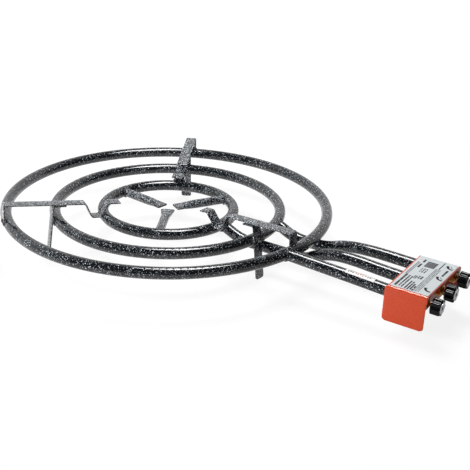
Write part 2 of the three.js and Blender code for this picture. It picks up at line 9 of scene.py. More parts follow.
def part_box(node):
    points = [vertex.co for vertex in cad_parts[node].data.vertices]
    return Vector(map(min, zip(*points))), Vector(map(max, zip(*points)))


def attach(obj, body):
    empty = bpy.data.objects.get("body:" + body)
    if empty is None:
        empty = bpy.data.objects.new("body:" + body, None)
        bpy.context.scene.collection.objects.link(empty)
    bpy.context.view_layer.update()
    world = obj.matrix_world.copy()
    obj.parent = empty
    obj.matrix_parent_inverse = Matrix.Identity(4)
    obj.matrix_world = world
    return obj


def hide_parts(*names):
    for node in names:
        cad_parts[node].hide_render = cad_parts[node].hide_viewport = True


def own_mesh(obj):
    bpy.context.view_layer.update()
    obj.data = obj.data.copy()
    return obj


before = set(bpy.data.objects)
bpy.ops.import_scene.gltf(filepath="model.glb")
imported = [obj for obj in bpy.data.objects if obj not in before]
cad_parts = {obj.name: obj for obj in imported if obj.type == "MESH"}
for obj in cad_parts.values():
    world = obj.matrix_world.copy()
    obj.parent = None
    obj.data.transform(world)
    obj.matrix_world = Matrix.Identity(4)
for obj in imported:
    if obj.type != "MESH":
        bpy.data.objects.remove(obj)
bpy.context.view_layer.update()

# Three-ring gas burner for paella pans. Sizes are in millimetres, which meshes and node inputs turn into
# metres; only the floor and the lights are given in metres.
# Most pieces are made around the middle of the rings, which lies at RING_X in the frame.
MM = 0.001


def node_box(name):
    low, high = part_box(name)
    return np.array(low) / MM, np.array(high) / MM


def ring_size(name):
    """Radius of a ring's middle line, and its height."""
    low, high = node_box(f"{name}_ring_tube")
    return (high[1] - low[1]) / 2 - TUBE_RADIUS, (low[2] + high[2]) / 2


OUTER_LOW, OUTER_HIGH = node_box("outer_ring_tube")
RING_X = (OUTER_LOW[0] + OUTER_HIGH[0]) / 2
RING_HEIGHT = (OUTER_LOW[2] + OUTER_HIGH[2]) / 2
TUBE_RADIUS = (OUTER_HIGH[2] - OUTER_LOW[2]) / 2
TUBE_WALL = 1.6
RINGS = {name: ring_size(name) for name in ("outer", "middle", "inner")}
PORT_PITCH = 11.0
PORT_RADIUS = 0.9
PORT_TILT_DEGREES = 24.0
DRILL_LENGTH = 6.0

TAP_PITCH = 56.0
TAP_Y = (-TAP_PITCH, 0.0, TAP_PITCH)
TAP_DROP = 9.4
TAP_Z = RING_HEIGHT - TAP_DROP
TAP_FALL_DEGREES = 1.8
FEED_END_X = 478.0
FEED_END = (FEED_END_X, -TAP_DROP)
FEED_OVERLAP = 0.4

# Feed tubes: side, then distance from the rings' middle and height over the outer ring's middle.
FEEDS = {
    "outer": (-TAP_PITCH, [(284.6, -0.4), (292, -0.8), (350, -3.4), (410, -6), (450, -8.2), FEED_END]),
    "inner": (0.0, [
        (119.2, -10.3), (134, -16.5), (152, -24), (172, -28), (205, -28.5), (260, -28.5), (290, -27),
        (308, -18.5), (325, -10.5), (350, -5.2), (385, -4.6), (420, -6.8), (450, -8.4), FEED_END]),
    "middle": (TAP_PITCH, [
        (197, -6.2), (210, -11.5), (228, -19.5), (246, -23.5), (270, -24.5), (291, -24),
        (308, -21), (328, -14.5), (350, -10), (385, -7.6), (420, -7.8), (450, -8.6), FEED_END]),
}

# Spokes: direction, where the tip lies, and how far the lip spreads.
SPOKES = ((61.5, 14.0, 1.0), (173.0, 15.5, 0.74), (299.0, 8.5, 1.0))
SPOKE_RADIUS = 8.0
SPOKE_ROOT = RINGS["inner"][0] - 6
SPOKE_MOUTH = (0.86, 0.30)
SPOKE_MOUTH_DEPTH = 7.0

# Pan supports: direction, turn about the outer end, and a strip line of radius and height over the outer
# ring's middle.
STRIP_WIDTH = 20.0
STRIP_THICKNESS = 2.5
SUPPORT_BENDS = (3.5, 5, 7, 3, 4)
HOOK = [(156.5, 20.8), (146, -6), (130.4, -6.6), (114.2, 16.6), (93.5, 15)]
SUPPORTS = (
    (-8.0, 2.0, [
        (290.4, 9.6), (289, 32.4), (155, 24), (142.5, -4.4), (129.6, -4.1), (109.6, 18.9), (94, 17.2)]),
    (118.0, 0.0, [(292.4, 9.6), (291, 32.8)] + HOOK),
    (237.0, 0.0, [(298.4, 6.8), (297, 34.4)] + HOOK),
)
LEG_BEND = 4
LEG_LINE = ((191.0, 21.1), (213.0, 23.05), (225.2, -RING_HEIGHT))
LEG_CORNER_RADIUS = 4.0

# Cover, frame, label and sticker.
COVER_LOW, COVER_HIGH = node_box("tap_cover")
COVER_BACK_X = COVER_LOW[0] - RING_X
COVER_FRONT_X = COVER_HIGH[0] - RING_X
COVER_SIDE_END_X = COVER_FRONT_X - 1.5
COVER_THICKNESS = 1.5
COVER_BEND = 3.6
COVER_CORNER_RADIUS = 5.0
COVER_LIP_HEIGHT = 4.0
COVER_TAB_HEIGHT = 10.5
COVER_TAB_WIDTH = 9.0
COVER_LIP_CORNER = 3.2
INLET_HOLE_RADIUS = 12.5
REAR_SKEW = 3.8
REAR_SKEW_HEIGHTS = (2.6, 0.6)
FRAME_HALF_WIDTH = 65.7
FRAME_THICKNESS = 2.0
FRAME_BEND = 2.2
FRAME_X = (468.0, 484.0, 518.0)
FRAME_WEB_Z = RING_HEIGHT - 20.8
FRAME_EAR_Z = RING_HEIGHT - 49
FRAME_WALL_X = (514.4, 515.9)
FRAME_WALL_Z = (RING_HEIGHT - 40, RING_HEIGHT + 1.5)
FRAME_WALL_HALF_WIDTH = 62.0
FRAME_WALL_DROP = 9.0
SHEET_EDGE = 0.3
LABEL_LOW, LABEL_HIGH = node_box("label_plate")
LABEL_FRONT = 1.6
LABEL_CORNER = 1.5
PRINT_THICKNESS = 0.06
PRINT_RISE = 0.05
ARC_RISE = 0.07
BAR_RISE = (0.02, 0.1)
STICKER_X = (394.0, 444.0)
STICKER_HALF_ANGLE = 40.0
STICKER_RISE = (0.25, 0.55)
MARK_RISE = 0.6
STICKER_MARKS = (
    (399.0, 2.4, "grey"), (402.6, 2.6, "grey"), (406.4, 2.2, "grey"), (411.5, 3.0, "red"),
    (415.6, 2.4, "red"), (419.4, 2.8, "red"), (423.4, 2.4, "red"), (427.4, 3.0, "red"),
    (432.4, 2.2, "grey"), (436.0, 2.4, "grey"))

# Tap parts along X, counted from the rings' middle.
RAIL_X = 504.0
RAIL_Z = TAP_Z - 27.0
RAIL_Y = (-66.4, 71.0)
RAIL_RADIUS = 9.0
INJECTOR_X = (470.0, 485.0)
INJECTOR_FLATS = 10.0
TAP_BODY_X = (485.3, 516.0)
TAP_NECK_RADIUS = 8.5
GLAND_X = (516.3, 533.5)
GLAND_FLATS = 20.0
INLET_FLATS = 22.0
SPINDLE_X = (500.0, 545.9)
SPINDLE_RADIUS = 3.2
SPINDLE_FLAT = (541.2, 1.9)
SPRING_X = (519.5, 528.2)
SPRING_RADIUS = 4.6
SPRING_WIRE = 0.45
SPRING_TURNS = 4
COLLAR_X = (528.5, 530.5)
COLLAR_RADIUS = 5.7
KNOB_X = (540.0, 555.5)
KNOB_RADIUS = 13.7
KNOB_FACE_RADIUS = 9.0
KNOB_FLUTE_DEPTH = 2.6
KNOB_TURNS = (0.0, 0.33, 0.0)

# Camera, fitted to the photograph, in millimetres and degrees.
CAMERA_TARGET = (49.6, -45.0, 72.0)
CAMERA_AZIMUTH = 32.8
CAMERA_ELEVATION = 23.87
CAMERA_ROLL = 2.22
CAMERA_DISTANCE = 1529.8
CAMERA_LENS = 68.94
SENSOR_WIDTH = 36.0

# Studio: the direction of the pale wall, and how strongly each side shows in reflections.
WALL_DIRECTION = (-0.75, 0.66, 0.0)
WALL_STRENGTH = 0.95
ROOM_STRENGTH = 0.04
FILL_STRENGTH = 0.06
FLOOR_SIZE = 6.0
FLOOR_GLOW = 0.85


# Node helpers.
def add_node(tree, kind, inputs=None, **settings):
    node = tree.nodes.new(kind)
    for key, value in settings.items():
        setattr(node, key, value)
    for key, value in (inputs or {}).items():
        if isinstance(value, bpy.types.NodeSocket):
            tree.links.new(value, node.inputs[key])
        else:
            node.inputs[key].default_value = value
    return node


def made(tree, kind, inputs=None, **settings):
    """The first output of a new node."""
    return add_node(tree, kind, inputs, **settings).outputs[0]


def math_node(tree, operation, *values):
    return made(tree, "ShaderNodeMath", dict(enumerate(values)), operation=operation)


def ramp(tree, value, low, high, start=0.0, end=1.0):
    """start below low, end above high and smooth between."""
    inputs = {"Value": value, "From Min": low, "From Max": high, "To Min": start, "To Max": end}
    return made(tree, "ShaderNodeMapRange", inputs, interpolation_type="SMOOTHSTEP")


def mix_colour(tree, amount, first, second):
    return add_node(tree, "ShaderNodeMix", {0: amount, 6: first, 7: second}, data_type="RGBA").outputs[2]


def xyz(tree, **parts):
    return made(tree, "ShaderNodeCombineXYZ", parts)


def start_material(name, settings):
    material = bpy.data.materials.new(name)
    material.use_nodes = True
    tree = material.node_tree
    for key, value in settings.items():
        tree.nodes["Principled BSDF"].inputs[key].default_value = value
    return material, tree, tree.nodes.new("ShaderNodeTexCoord").outputs["Object"]


def finish_material(material, colour, rough, height, strength, distance):
    """Links a colour, a roughness and a bump to the material's shader."""
    tree = material.node_tree
    normal = made(tree, "ShaderNodeBump", {"Height": height, "Strength": strength, "Distance": distance})
    for key, value in (("Base Color", colour), ("Roughness", rough), ("Normal", normal)):
        tree.links.new(value, tree.nodes["Principled BSDF"].inputs[key])
    return material


def noise_at(tree, place, scale, detail=2.0, roughness=0.5):
    inputs = {"Vector": place, "Scale": scale, "Detail": detail, "Roughness": roughness}
    return add_node(tree, "ShaderNodeTexNoise", inputs).outputs["Fac"]


def specks(tree, place, scale, smallest, largest, seed):
    """White flecks: one irregular spot in a cell, with a size and brightness of its own."""
    moved = made(tree, "ShaderNodeMapping", {"Vector": place, "Location": (seed, seed, seed)})
    cells = add_node(tree, "ShaderNodeTexVoronoi", {"Vector": moved, "Scale": scale}).outputs
    parts = add_node(tree, "ShaderNodeSeparateColor", {"Color": cells["Color"]}).outputs
    radius = math_node(tree, "MULTIPLY_ADD", parts[0], largest - smallest, smallest)
    spot = ramp(tree, math_node(tree, "SUBTRACT", radius, cells["Distance"]), -0.03, 0.05)
    return math_node(tree, "MULTIPLY", spot, math_node(tree, "MULTIPLY_ADD", parts[1], 0.7, 0.3))


def enamel_material(name, smallest, largest):
    """Glossy black enamel with white flecks in two sizes; a size below 0 leaves cells without a fleck."""
    material, tree, place = start_material(name, {"IOR": 1.55})
    warp = add_node(tree, "ShaderNodeTexNoise", {"Vector": place, "Scale": 900.0, "Detail": 1.0})
    inputs = {0: warp.outputs["Color"], "Scale": 0.0008}
    shift = made(tree, "ShaderNodeVectorMath", inputs, operation="SCALE")
    wavy = made(tree, "ShaderNodeVectorMath", {0: place, 1: shift}, operation="ADD")
    coarse = specks(tree, wavy, 400.0, smallest - 0.12, largest + 0.04, 0.0)
    flecks = math_node(tree, "MAXIMUM", coarse, specks(tree, wavy, 760.0, smallest, largest, 3.7))
    cloud = noise_at(tree, place, 40.0, 3.0)
    black = mix_colour(tree, cloud, (0.004, 0.005, 0.007, 1), (0.010, 0.012, 0.015, 1))
    colour = mix_colour(tree, flecks, black, (0.70, 0.76, 0.82, 1))
    rough = math_node(tree, "MULTIPLY_ADD", noise_at(tree, place, 260.0, 3.0), 0.10, 0.05)
    peel = math_node(tree, "MULTIPLY_ADD", flecks, 0.25, noise_at(tree, place, 160.0))
    return finish_material(material, colour, rough, peel, 0.22, 0.0006)


def weld_material():
    """Enamel over a weld: darker, with fewer flecks and a rough skin."""
    settings = {"IOR": 1.5, "Coat Weight": 0.3, "Coat Roughness": 0.1}
    material, tree, place = start_material("weld_enamel", settings)
    cloud = noise_at(tree, place, 300.0, 4.0)
    black = mix_colour(tree, cloud, (0.010, 0.011, 0.013, 1), (0.05, 0.05, 0.055, 1))
    colour = mix_colour(tree, specks(tree, place, 620.0, -0.08, 0.34, 1.9), black, (0.6, 0.62, 0.65, 1))
    rough = math_node(tree, "MULTIPLY_ADD", cloud, 0.25, 0.12)
    return finish_material(material, colour, rough, noise_at(tree, place, 700.0, 3.0), 0.6, 0.0006)


def powder_coat_material():
    """Satin orange powder coat with a fine orange-peel skin and faint colour drift."""
    material, tree, place = start_material("orange_powder_coat", {"IOR": 1.5, "Specular IOR Level": 0.9})
    grain = noise_at(tree, place, 1500.0)
    drift = noise_at(tree, place, 26.0, 3.0)
    colour = mix_colour(tree, drift, (0.58, 0.044, 0.004, 1), (0.67, 0.060, 0.008, 1))
    colour = mix_colour(tree, math_node(tree, "MULTIPLY", grain, 0.12), colour, (0.80, 0.12, 0.03, 1))
    rough = math_node(tree, "MULTIPLY_ADD", grain, 0.10, 0.22)
    return finish_material(material, colour, rough, grain, 0.25, 0.0003)


def metal_material(name, low, high, rough_low, rough_high, stretch):
    """Turned or drawn metal: fine lines along the axis that stretch leaves at 1, and a patchy tarnish."""
    material, tree, place = start_material(name, {"Metallic": 1.0})
    drawn = made(tree, "ShaderNodeMapping", {"Vector": place, "Scale": stretch})
    lines = noise_at(tree, drawn, 900.0, 3.0, 0.6)
    tarnish = noise_at(tree, place, 120.0, 4.0)
    both = math_node(tree, "MULTIPLY", math_node(tree, "ADD", lines, tarnish), 0.5)
    rough = ramp(tree, both, 0.2, 0.8, rough_low, rough_high)
    return finish_material(material, mix_colour(tree, tarnish, low, high), rough, lines, 0.2, 0.0002)


def plastic_material():
    """Moulded black plastic with a faint grain and handling haze."""
    material, tree, place = start_material("knob_plastic", {"IOR": 1.4})
    haze = noise_at(tree, place, 90.0, 3.0)
    colour = mix_colour(tree, haze, (0.002, 0.002, 0.003, 1), (0.005, 0.005, 0.006, 1))
    rough = math_node(tree, "MULTIPLY_ADD", haze, 0.18, 0.05)
    return finish_material(material, colour, rough, noise_at(tree, place, 1800.0), 0.12, 0.0002)


def foil_material(name, low, high, rough, ior=1.45):
    """Printed foil: nearly even colour, a slight grain and shallow waves."""
    material, tree, place = start_material(name, {"IOR": ior})
    waves = noise_at(tree, place, 60.0)
    spread = math_node(tree, "MULTIPLY_ADD", waves, 0.1, rough)
    return finish_material(material, mix_colour(tree, waves, low, high), spread, waves, 0.15, 0.0004)


ENAMEL = enamel_material("black_enamel", -0.34, 0.42)
# Copy of the black enamel for the strips, spokes and legs, with denser and paler flecks. The flecks are
# real; the extra flecks are painted light that makes these parts look brighter than the rings.
ENAMEL_WITH_PAINTED_LIGHT = enamel_material("black_enamel_with_painted_light", 0.0, 0.54)
WELD = weld_material()
POWDER_COAT = powder_coat_material()
# The brass colours lean to red-orange. Part of this is the brass's own colour, and part is painted
# reflection of the orange cover's shaded inside.
BRASS = metal_material("brass", (0.52, 0.21, 0.04, 1), (0.74, 0.36, 0.09, 1), 0.12, 0.30, (1, 8, 8))
STEEL = metal_material("zinc_steel", (0.42, 0.44, 0.46, 1), (0.56, 0.58, 0.60, 1), 0.22, 0.45, (6, 1, 6))
PLASTIC = plastic_material()
KNOB_FACE = metal_material(
    "knob_face_metal", (0.38, 0.385, 0.40, 1), (0.50, 0.505, 0.52, 1), 0.22, 0.38, (1, 8, 8))
LABEL_FOIL = foil_material("label_foil", (0.66, 0.71, 0.73, 1), (0.74, 0.78, 0.80, 1), 0.28)
STICKER_FOIL = foil_material("sticker_foil", (0.80, 0.80, 0.78, 1), (0.88, 0.88, 0.87, 1), 0.45)
INK = foil_material("ink", (0.015, 0.017, 0.02, 1), (0.03, 0.03, 0.035, 1), 0.5, 1.2)
GREY_INK = foil_material("grey_ink", (0.13, 0.13, 0.15, 1), (0.19, 0.19, 0.21, 1), 0.5, 1.2)
RED_INK = foil_material("red_ink", (0.50, 0.14, 0.12, 1), (0.60, 0.22, 0.20, 1), 0.4)


# Mesh helpers. A body is a pair of points, in millimetres, and faces.
def outward(body):
    """The body with its faces turned outwards."""
    points, faces = body
    points = np.asarray(points, float)
    volume = 0.0
    for face in faces:
        for i in range(1, len(face) - 1):
            volume += points[face[0]] @ np.cross(points[face[i]], points[face[i + 1]])
    return points, [tuple(reversed(face)) for face in faces] if volume < 0 else faces


def joined(bodies):
    points, faces = [], []
    for body_points, body_faces in bodies:
        start = len(points)
        points.extend(np.asarray(body_points, float).tolist())
        faces.extend(tuple(start + i for i in face) for face in body_faces)
    return np.array(points), faces


def new_object(name, data):
    obj = bpy.data.objects.new(name, data)
    bpy.context.scene.collection.objects.link(obj)
    return obj


def mesh_from(name, body, material, sharp_degrees=38.0):
    points, faces = body
    mesh = bpy.data.meshes.new(name)
    mesh.from_pydata(((np.asarray(points, float) + (RING_X, 0, 0)) * MM).tolist(), [], faces)
    finish_mesh(mesh, material, sharp_degrees)
    return mesh


def finish_mesh(mesh, material, sharp_degrees=38.0):
    mesh.materials.clear()
    mesh.materials.append(material)
    mesh.polygons.foreach_set("use_smooth", [True] * len(mesh.polygons))
    mesh.polygons.foreach_set("material_index", [0] * len(mesh.polygons))
    mesh.set_sharp_from_angle(angle=math.radians(sharp_degrees))
    mesh.update()


def hold(obj, nodes=(), body="burner"):
    """Puts a finished piece on its CAD body and the solids that it stands for."""
    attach(obj, body)
    if nodes:
        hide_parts(*nodes)
    return obj


def add_piece(name, bodies, material, nodes=(), body="burner", sharp_degrees=38.0):
    mesh = mesh_from(name, joined([outward(b) for b in bodies]), material, sharp_degrees)
    return hold(new_object(name, mesh), nodes, body)


def settled(obj):
    """Replaces an object's modifiers by their result."""
    graph = bpy.context.evaluated_depsgraph_get()
    mesh = bpy.data.meshes.new_from_object(obj.evaluated_get(graph))
    obj.modifiers.clear()
    obj.data = mesh


def cut_by(body, cutters, name, material, sharp_degrees=38.0, added=()):
    """A mesh object of body, with the added bodies joined to it and the cutters' bodies taken away."""
    obj = new_object(name, mesh_from(name, outward(body), material, sharp_degrees))
    tools = []
    steps = [("UNION", other) for other in added] + [("DIFFERENCE", other) for other in cutters]
    for i, (operation, other) in enumerate(steps):
        tool_name = f"{name}_cut_{i}"
        tools.append(new_object(tool_name, mesh_from(tool_name, outward(other), material)))
        modifier = obj.modifiers.new("cut", "BOOLEAN")
        modifier.operation = operation
        modifier.solver = "EXACT"
        modifier.object = tools[-1]
    settled(obj)
    for tool in tools:
        bpy.data.objects.remove(tool)
    finish_mesh(obj.data, material, sharp_degrees)
    return obj


def soften_edges(obj, material, width, degrees=50.0):
    """Rounds the sharp edges of a finished sheet piece."""
    bevel = obj.modifiers.new("edge", "BEVEL")
    bevel.width = width * MM
    bevel.segments = 2
    bevel.limit_method = "ANGLE"
    bevel.angle_limit = math.radians(degrees)
    settled(obj)
    finish_mesh(obj.data, material, degrees)


def keep_largest_part(mesh):
    """Removes the loose piece that a cut left inside a ring."""
    shape = bmesh.new()
    shape.from_mesh(mesh)
    left, parts = set(shape.verts), []
    while left:
        part, waiting = set(), [left.pop()]
        while waiting:
            vertex = waiting.pop()
            part.add(vertex)
            found = {edge.other_vert(vertex) for edge in vertex.link_edges} & left
            left -= found
            waiting.extend(found)
        parts.append(part)
    if len(parts) > 1:
        largest = max(parts, key=len)
        bmesh.ops.delete(shape, geom=[v for v in shape.verts if v not in largest], context="VERTS")
        shape.to_mesh(mesh)
    shape.free()


def round_section(radius, sides):
    angles = np.linspace(0, 2 * math.pi, sides, endpoint=False)
    return np.stack([radius * np.cos(angles), radius * np.sin(angles)], 1)


def strip_section(width, thickness, radius=0.7, steps=4):
    """Rectangle with rounded corners, width across and thickness up."""
    points = []
    for side, up, start in ((1, 1, 0), (-1, 1, 90), (-1, -1, 180), (1, -1, 270)):
        centre = np.array([side * (width / 2 - radius), up * (thickness / 2 - radius)])
        for angle in np.radians(start + 90 * np.arange(steps + 1) / steps):
            points.append(centre + radius * np.array([math.cos(angle), math.sin(angle)]))
    return np.array(points)


def row_numbers(rows, count):
    return [list(range(row * count, (row + 1) * count)) for row in range(rows)]


def band(first, second):
    """Quads between two closed rows of point numbers."""
    return [(first[k - 1], first[k], second[k], second[k - 1]) for k in [*range(1, len(first)), 0]]


def inside_out(faces):
    return [(a, d, c, b) for a, b, c, d in faces]


def tangents(line, closed):
    if closed:
        step = np.roll(line, -1, 0) - np.roll(line, 1, 0)
    else:
        step = np.gradient(line, axis=0)
    return step / np.linalg.norm(step, axis=1)[:, None]


def swept(line, sections, side=None, closed=False):
    """A body along a line. side, if given, is the direction across the line that every section keeps."""
    line = np.asarray(line, float)
    along = tangents(line, closed)
    across = np.zeros_like(line)
    guess = np.array([0.0, 0.0, 1.0]) if abs(along[0][2]) < 0.9 else np.array([1.0, 0.0, 0.0])
    for i, direction in enumerate(along):
        wanted = guess if side is None else np.asarray(side, float)
        across[i] = wanted - direction * (wanted @ direction)
        across[i] /= np.linalg.norm(across[i])
        guess = across[i]
    up = np.cross(across, along)
    points = np.concatenate([
        line[i] + section[:, :1] * across[i] + section[:, 1:] * up[i] for i, section in enumerate(sections)])
    rows = row_numbers(len(line), len(sections[0]))
    pairs = zip(rows, rows[1:] + rows[:1] if closed else rows[1:])
    faces = [face for first, second in pairs for face in band(first, second)]
    if not closed:
        faces += [tuple(reversed(rows[0])), tuple(rows[-1])]
    return points, faces


def turned(profile, centre_y, centre_z, sides=48, shape=None):
    """A piece turned about the tap direction. profile is a closed loop or starts and ends at radius 0."""
    points, rows = [], []
    for x, radius in profile:
        if radius == 0:
            rows.append([len(points)])
            points.append((x, centre_y, centre_z))
            continue
        rows.append(list(range(len(points), len(points) + sides)))
        for angle in 2 * math.pi * np.arange(sides) / sides:
            r = shape(angle, x, radius) if shape else radius
            points.append((x, centre_y + r * math.cos(angle), centre_z + r * math.sin(angle)))
    faces = []
    for first, second in zip(rows, rows[1:] + (rows[:1] if profile[0][1] else [])):
        if len(first) == 1:
            faces += [(first[0], a, b) for a, b in zip(second, second[1:] + second[:1])]
        elif len(second) == 1:
            faces += [(a, second[0], b) for a, b in zip(first, first[1:] + first[:1])]
        else:
            faces += inside_out(band(first, second))
    return np.array(points), faces


def flat_block(outline, x_range):
    """A plate across X with an outline of Y and Z."""
    points = [(x, y, z) for x in x_range for y, z in outline]
    back, front = row_numbers(2, len(outline))
    return np.array(points), [tuple(back), tuple(reversed(front))] + band(back, front)


def rounded_block(low, high, radius, steps=3):
    """A block with rounded edges all round."""
    low, high = np.array(low, float), np.array(high, float)
    centre, half = (low + high) / 2, (high - low) / 2
    radius = min(radius, *(half * 0.98))
    section = strip_section(2 * half[1], 2 * half[2], radius, steps)
    line, sections = [], []
    for k in range(2 * (steps + 1)):
        at_start = k <= steps
        angle = math.radians(90 * (k if at_start else 2 * steps + 1 - k) / steps)
        inset = radius * (1 - math.sin(angle))
        x = half[0] - radius * (1 - math.cos(angle))
        line.append((centre[0] + (-x if at_start else x), centre[1], centre[2]))
        sections.append(section * ((half[1] - inset) / half[1], (half[2] - inset) / half[2]))
    line = np.array(line)
    line[:, 0] += np.linspace(-1e-4, 1e-4, len(line))
    return swept(line, sections, side=(0, 1, 0))


def rod(start, end, radius):
    """Profile of a plain rod."""
    return [(start, 0), (start, radius), (end, radius), (end, 0)]


def chamfered(start, end, radius, edge, bore=0.0):
    """Profile of a turned piece with chamfered ends."""
    return [(start, bore), (start, radius - edge), (start + edge, radius),
            (end - edge, radius), (end, radius - edge), (end, bore)]


def rotated(points, axes, pivot, degrees):
    """Points turned about a pivot, from the first of two axes towards the second."""
    points = np.array(points, float)
    first, second = (points[:, axis] - middle for axis, middle in zip(axes, pivot))
    cosine, sine = math.cos(math.radians(degrees)), math.sin(math.radians(degrees))
    points[:, axes[0]] = pivot[0] + first * cosine - second * sine
    points[:, axes[1]] = pivot[1] + first * sine + second * cosine
    return points


def leaning(body):
    """The body leant with the row of taps."""
    return rotated(body[0], (2, 0), (TAP_Z, FEED_END_X), TAP_FALL_DEGREES), body[1]


def in_place(points, direction, turn=0.0):
    """Turns radial points about the outer ring's end and then to the given direction."""
    points = rotated(points, (0, 1), (RINGS["outer"][0], 0.0), turn)
    return rotated(points, (0, 1), (0.0, 0.0), direction)


def on_rail(profile, sides, shape=None):
    """A piece turned about the gas rail, with its profile along Y."""
    points, faces = turned(profile, 0, 0, sides, shape)
    return np.stack([RAIL_X + points[:, 1], points[:, 0], RAIL_Z + points[:, 2]], 1), faces


def blend(t, start, end, first, second):
    return ((end - t) * first + (t - start) * second) / (end - start)


def smooth_line(corners, spacing=4.0):
    """Centripetal curve through the corners, sampled at the given spacing."""
    points = np.array(corners, float)
    points = np.vstack([2 * points[0] - points[1], points, 2 * points[-1] - points[-2]])
    line = []
    for p0, p1, p2, p3 in zip(points, points[1:], points[2:], points[3:]):
        t0 = 0.0
        t1 = t0 + np.linalg.norm(p1 - p0) ** 0.5
        t2 = t1 + np.linalg.norm(p2 - p1) ** 0.5
        t3 = t2 + np.linalg.norm(p3 - p2) ** 0.5
        steps = max(2, int(np.linalg.norm(p2 - p1) / spacing))
        for t in np.linspace(t1, t2, steps, endpoint=False):
            a1, a2, a3 = blend(t, t0, t1, p0, p1), blend(t, t1, t2, p1, p2), blend(t, t2, t3, p2, p3)
            line.append(blend(t, t1, t2, blend(t, t0, t2, a1, a2), blend(t, t1, t3, a2, a3)))
    line.append(points[-2])
    return np.array(line)


def bent_line(corners, bends, steps=7, spacing=6.0):
    """Straight runs with a rounded bend at each inner corner."""
    points = [np.array(c, float) for c in corners]
    line = [points[0]]
    for before, corner, after, bend in zip(points, points[1:], points[2:], bends):
        back = (before - corner) / np.linalg.norm(before - corner)
        ahead = (after - corner) / np.linalg.norm(after - corner)
        reach = bend / math.tan(math.acos(float(np.clip(back @ ahead, -1, 1))) / 2)
        start, end = corner + back * reach, corner + ahead * reach
        for t in np.linspace(0, 1, steps):
            line.append((1 - t) ** 2 * start + 2 * t * (1 - t) * corner + t * t * end)
    line.append(points[-1])
    fine = [line[0]]
    for point in line[1:]:
        start = fine[-1]
        parts = max(1, int(np.linalg.norm(point - start) / spacing))
        fine.extend(start + (point - start) * k / parts for k in range(1, parts + 1))
    return np.array(fine)


# Geometry Nodes trees.
def start_tree(name, inputs):
    """A tree, the identifier of each named input, and the inputs' sockets inside the tree."""
    tree = bpy.data.node_groups.new(name, "GeometryNodeTree")
    tree.interface.new_socket("Geometry", in_out="INPUT", socket_type="NodeSocketGeometry")
    names = {}
    for kind, keys in inputs.items():
        for key in keys:
            socket = tree.interface.new_socket(key, in_out="INPUT", socket_type=f"NodeSocket{kind}")
            names[key] = socket.identifier
    tree.interface.new_socket("Geometry", in_out="OUTPUT", socket_type="NodeSocketGeometry")
    return tree, names, tree.nodes.new("NodeGroupInput").outputs


def finish_tree(tree, geometry, material):
    """Realizes the instances and sets the material at the tree's end."""
    real = made(tree, "GeometryNodeRealizeInstances", {"Geometry": geometry})
    coated = made(tree, "GeometryNodeSetMaterial", {"Geometry": real, "Material": material})
    tree.links.new(coated, tree.nodes.new("NodeGroupOutput").inputs[0])


def moved_by(tree, geometry, place, **turn):
    return made(tree, "GeometryNodeTransform", {"Geometry": geometry, "Translation": place, **turn})


def cut_away(tree, body, tool):
    inputs = {"Mesh 1": body, "Mesh 2": tool}
    return made(tree, "GeometryNodeMeshBoolean", inputs, operation="DIFFERENCE", solver="MANIFOLD")


def from_tree(name, tree, names, values, sharp_degrees):
    """A plain mesh object made by a tree with the given named inputs."""
    obj = new_object(name, bpy.data.meshes.new(name))
    modifier = obj.modifiers.new("made", "NODES")
    modifier.node_group = tree
    for key, value in values.items():
        modifier[names[key]] = value
    settled(obj)
    finish_mesh(obj.data, values["Material"], sharp_degrees)
    return obj


def ring_tree():
    """A hollow ring tube: two rows of ports are drilled through its top, half a pitch apart."""
    tree, names, given = start_tree("ported_ring", {
        "Float": ("Ring Radius", "Tube Radius", "Wall", "Height", "Centre X", "Port Radius", "Port Tilt"),
        "Int": ("Ports", "Segments"), "Material": ("Material",)})
    path = made(tree, "GeometryNodeCurvePrimitiveCircle", {
        "Resolution": given["Segments"], "Radius": given["Ring Radius"]})
    shells = []
    bore = math_node(tree, "SUBTRACT", given["Tube Radius"], given["Wall"])
    for radius, sides in ((given["Tube Radius"], 32), (bore, 20)):
        section = made(tree, "GeometryNodeCurvePrimitiveCircle", {"Resolution": sides, "Radius": radius})
        shells.append(made(tree, "GeometryNodeCurveToMesh", {"Curve": path, "Profile Curve": section}))

    rows = tree.nodes.new("GeometryNodeJoinGeometry")
    drill = made(tree, "GeometryNodeMeshCylinder", {
        "Vertices": 10, "Radius": given["Port Radius"], "Depth": DRILL_LENGTH * MM})
    drill = moved_by(tree, drill, xyz(tree, Z=given["Tube Radius"]))
    pitch = math_node(tree, "DIVIDE", 2 * math.pi, given["Ports"])
    for side, offset in ((-1.0, 0.0), (1.0, 0.5)):
        lean = xyz(tree, Y=math_node(tree, "MULTIPLY", given["Port Tilt"], side))
        leant = moved_by(tree, drill, xyz(tree, X=given["Ring Radius"]), Rotation=lean)
        index = tree.nodes.new("GeometryNodeInputIndex").outputs[0]
        angle = math_node(tree, "MULTIPLY", math_node(tree, "ADD", index, offset), pitch)
        copies = made(tree, "GeometryNodeInstanceOnPoints", {
            "Points": made(tree, "GeometryNodePoints", {"Count": given["Ports"]}),
            "Instance": leant, "Rotation": xyz(tree, Z=angle)})
        tree.links.new(copies, rows.inputs[0])
    drills = made(tree, "GeometryNodeRealizeInstances", {"Geometry": rows.outputs[0]})
    drilled = cut_away(tree, cut_away(tree, *shells), drills)
    place = xyz(tree, X=given["Centre X"], Z=given["Height"])
    finish_tree(tree, moved_by(tree, drilled, place), given["Material"])
    return tree, names


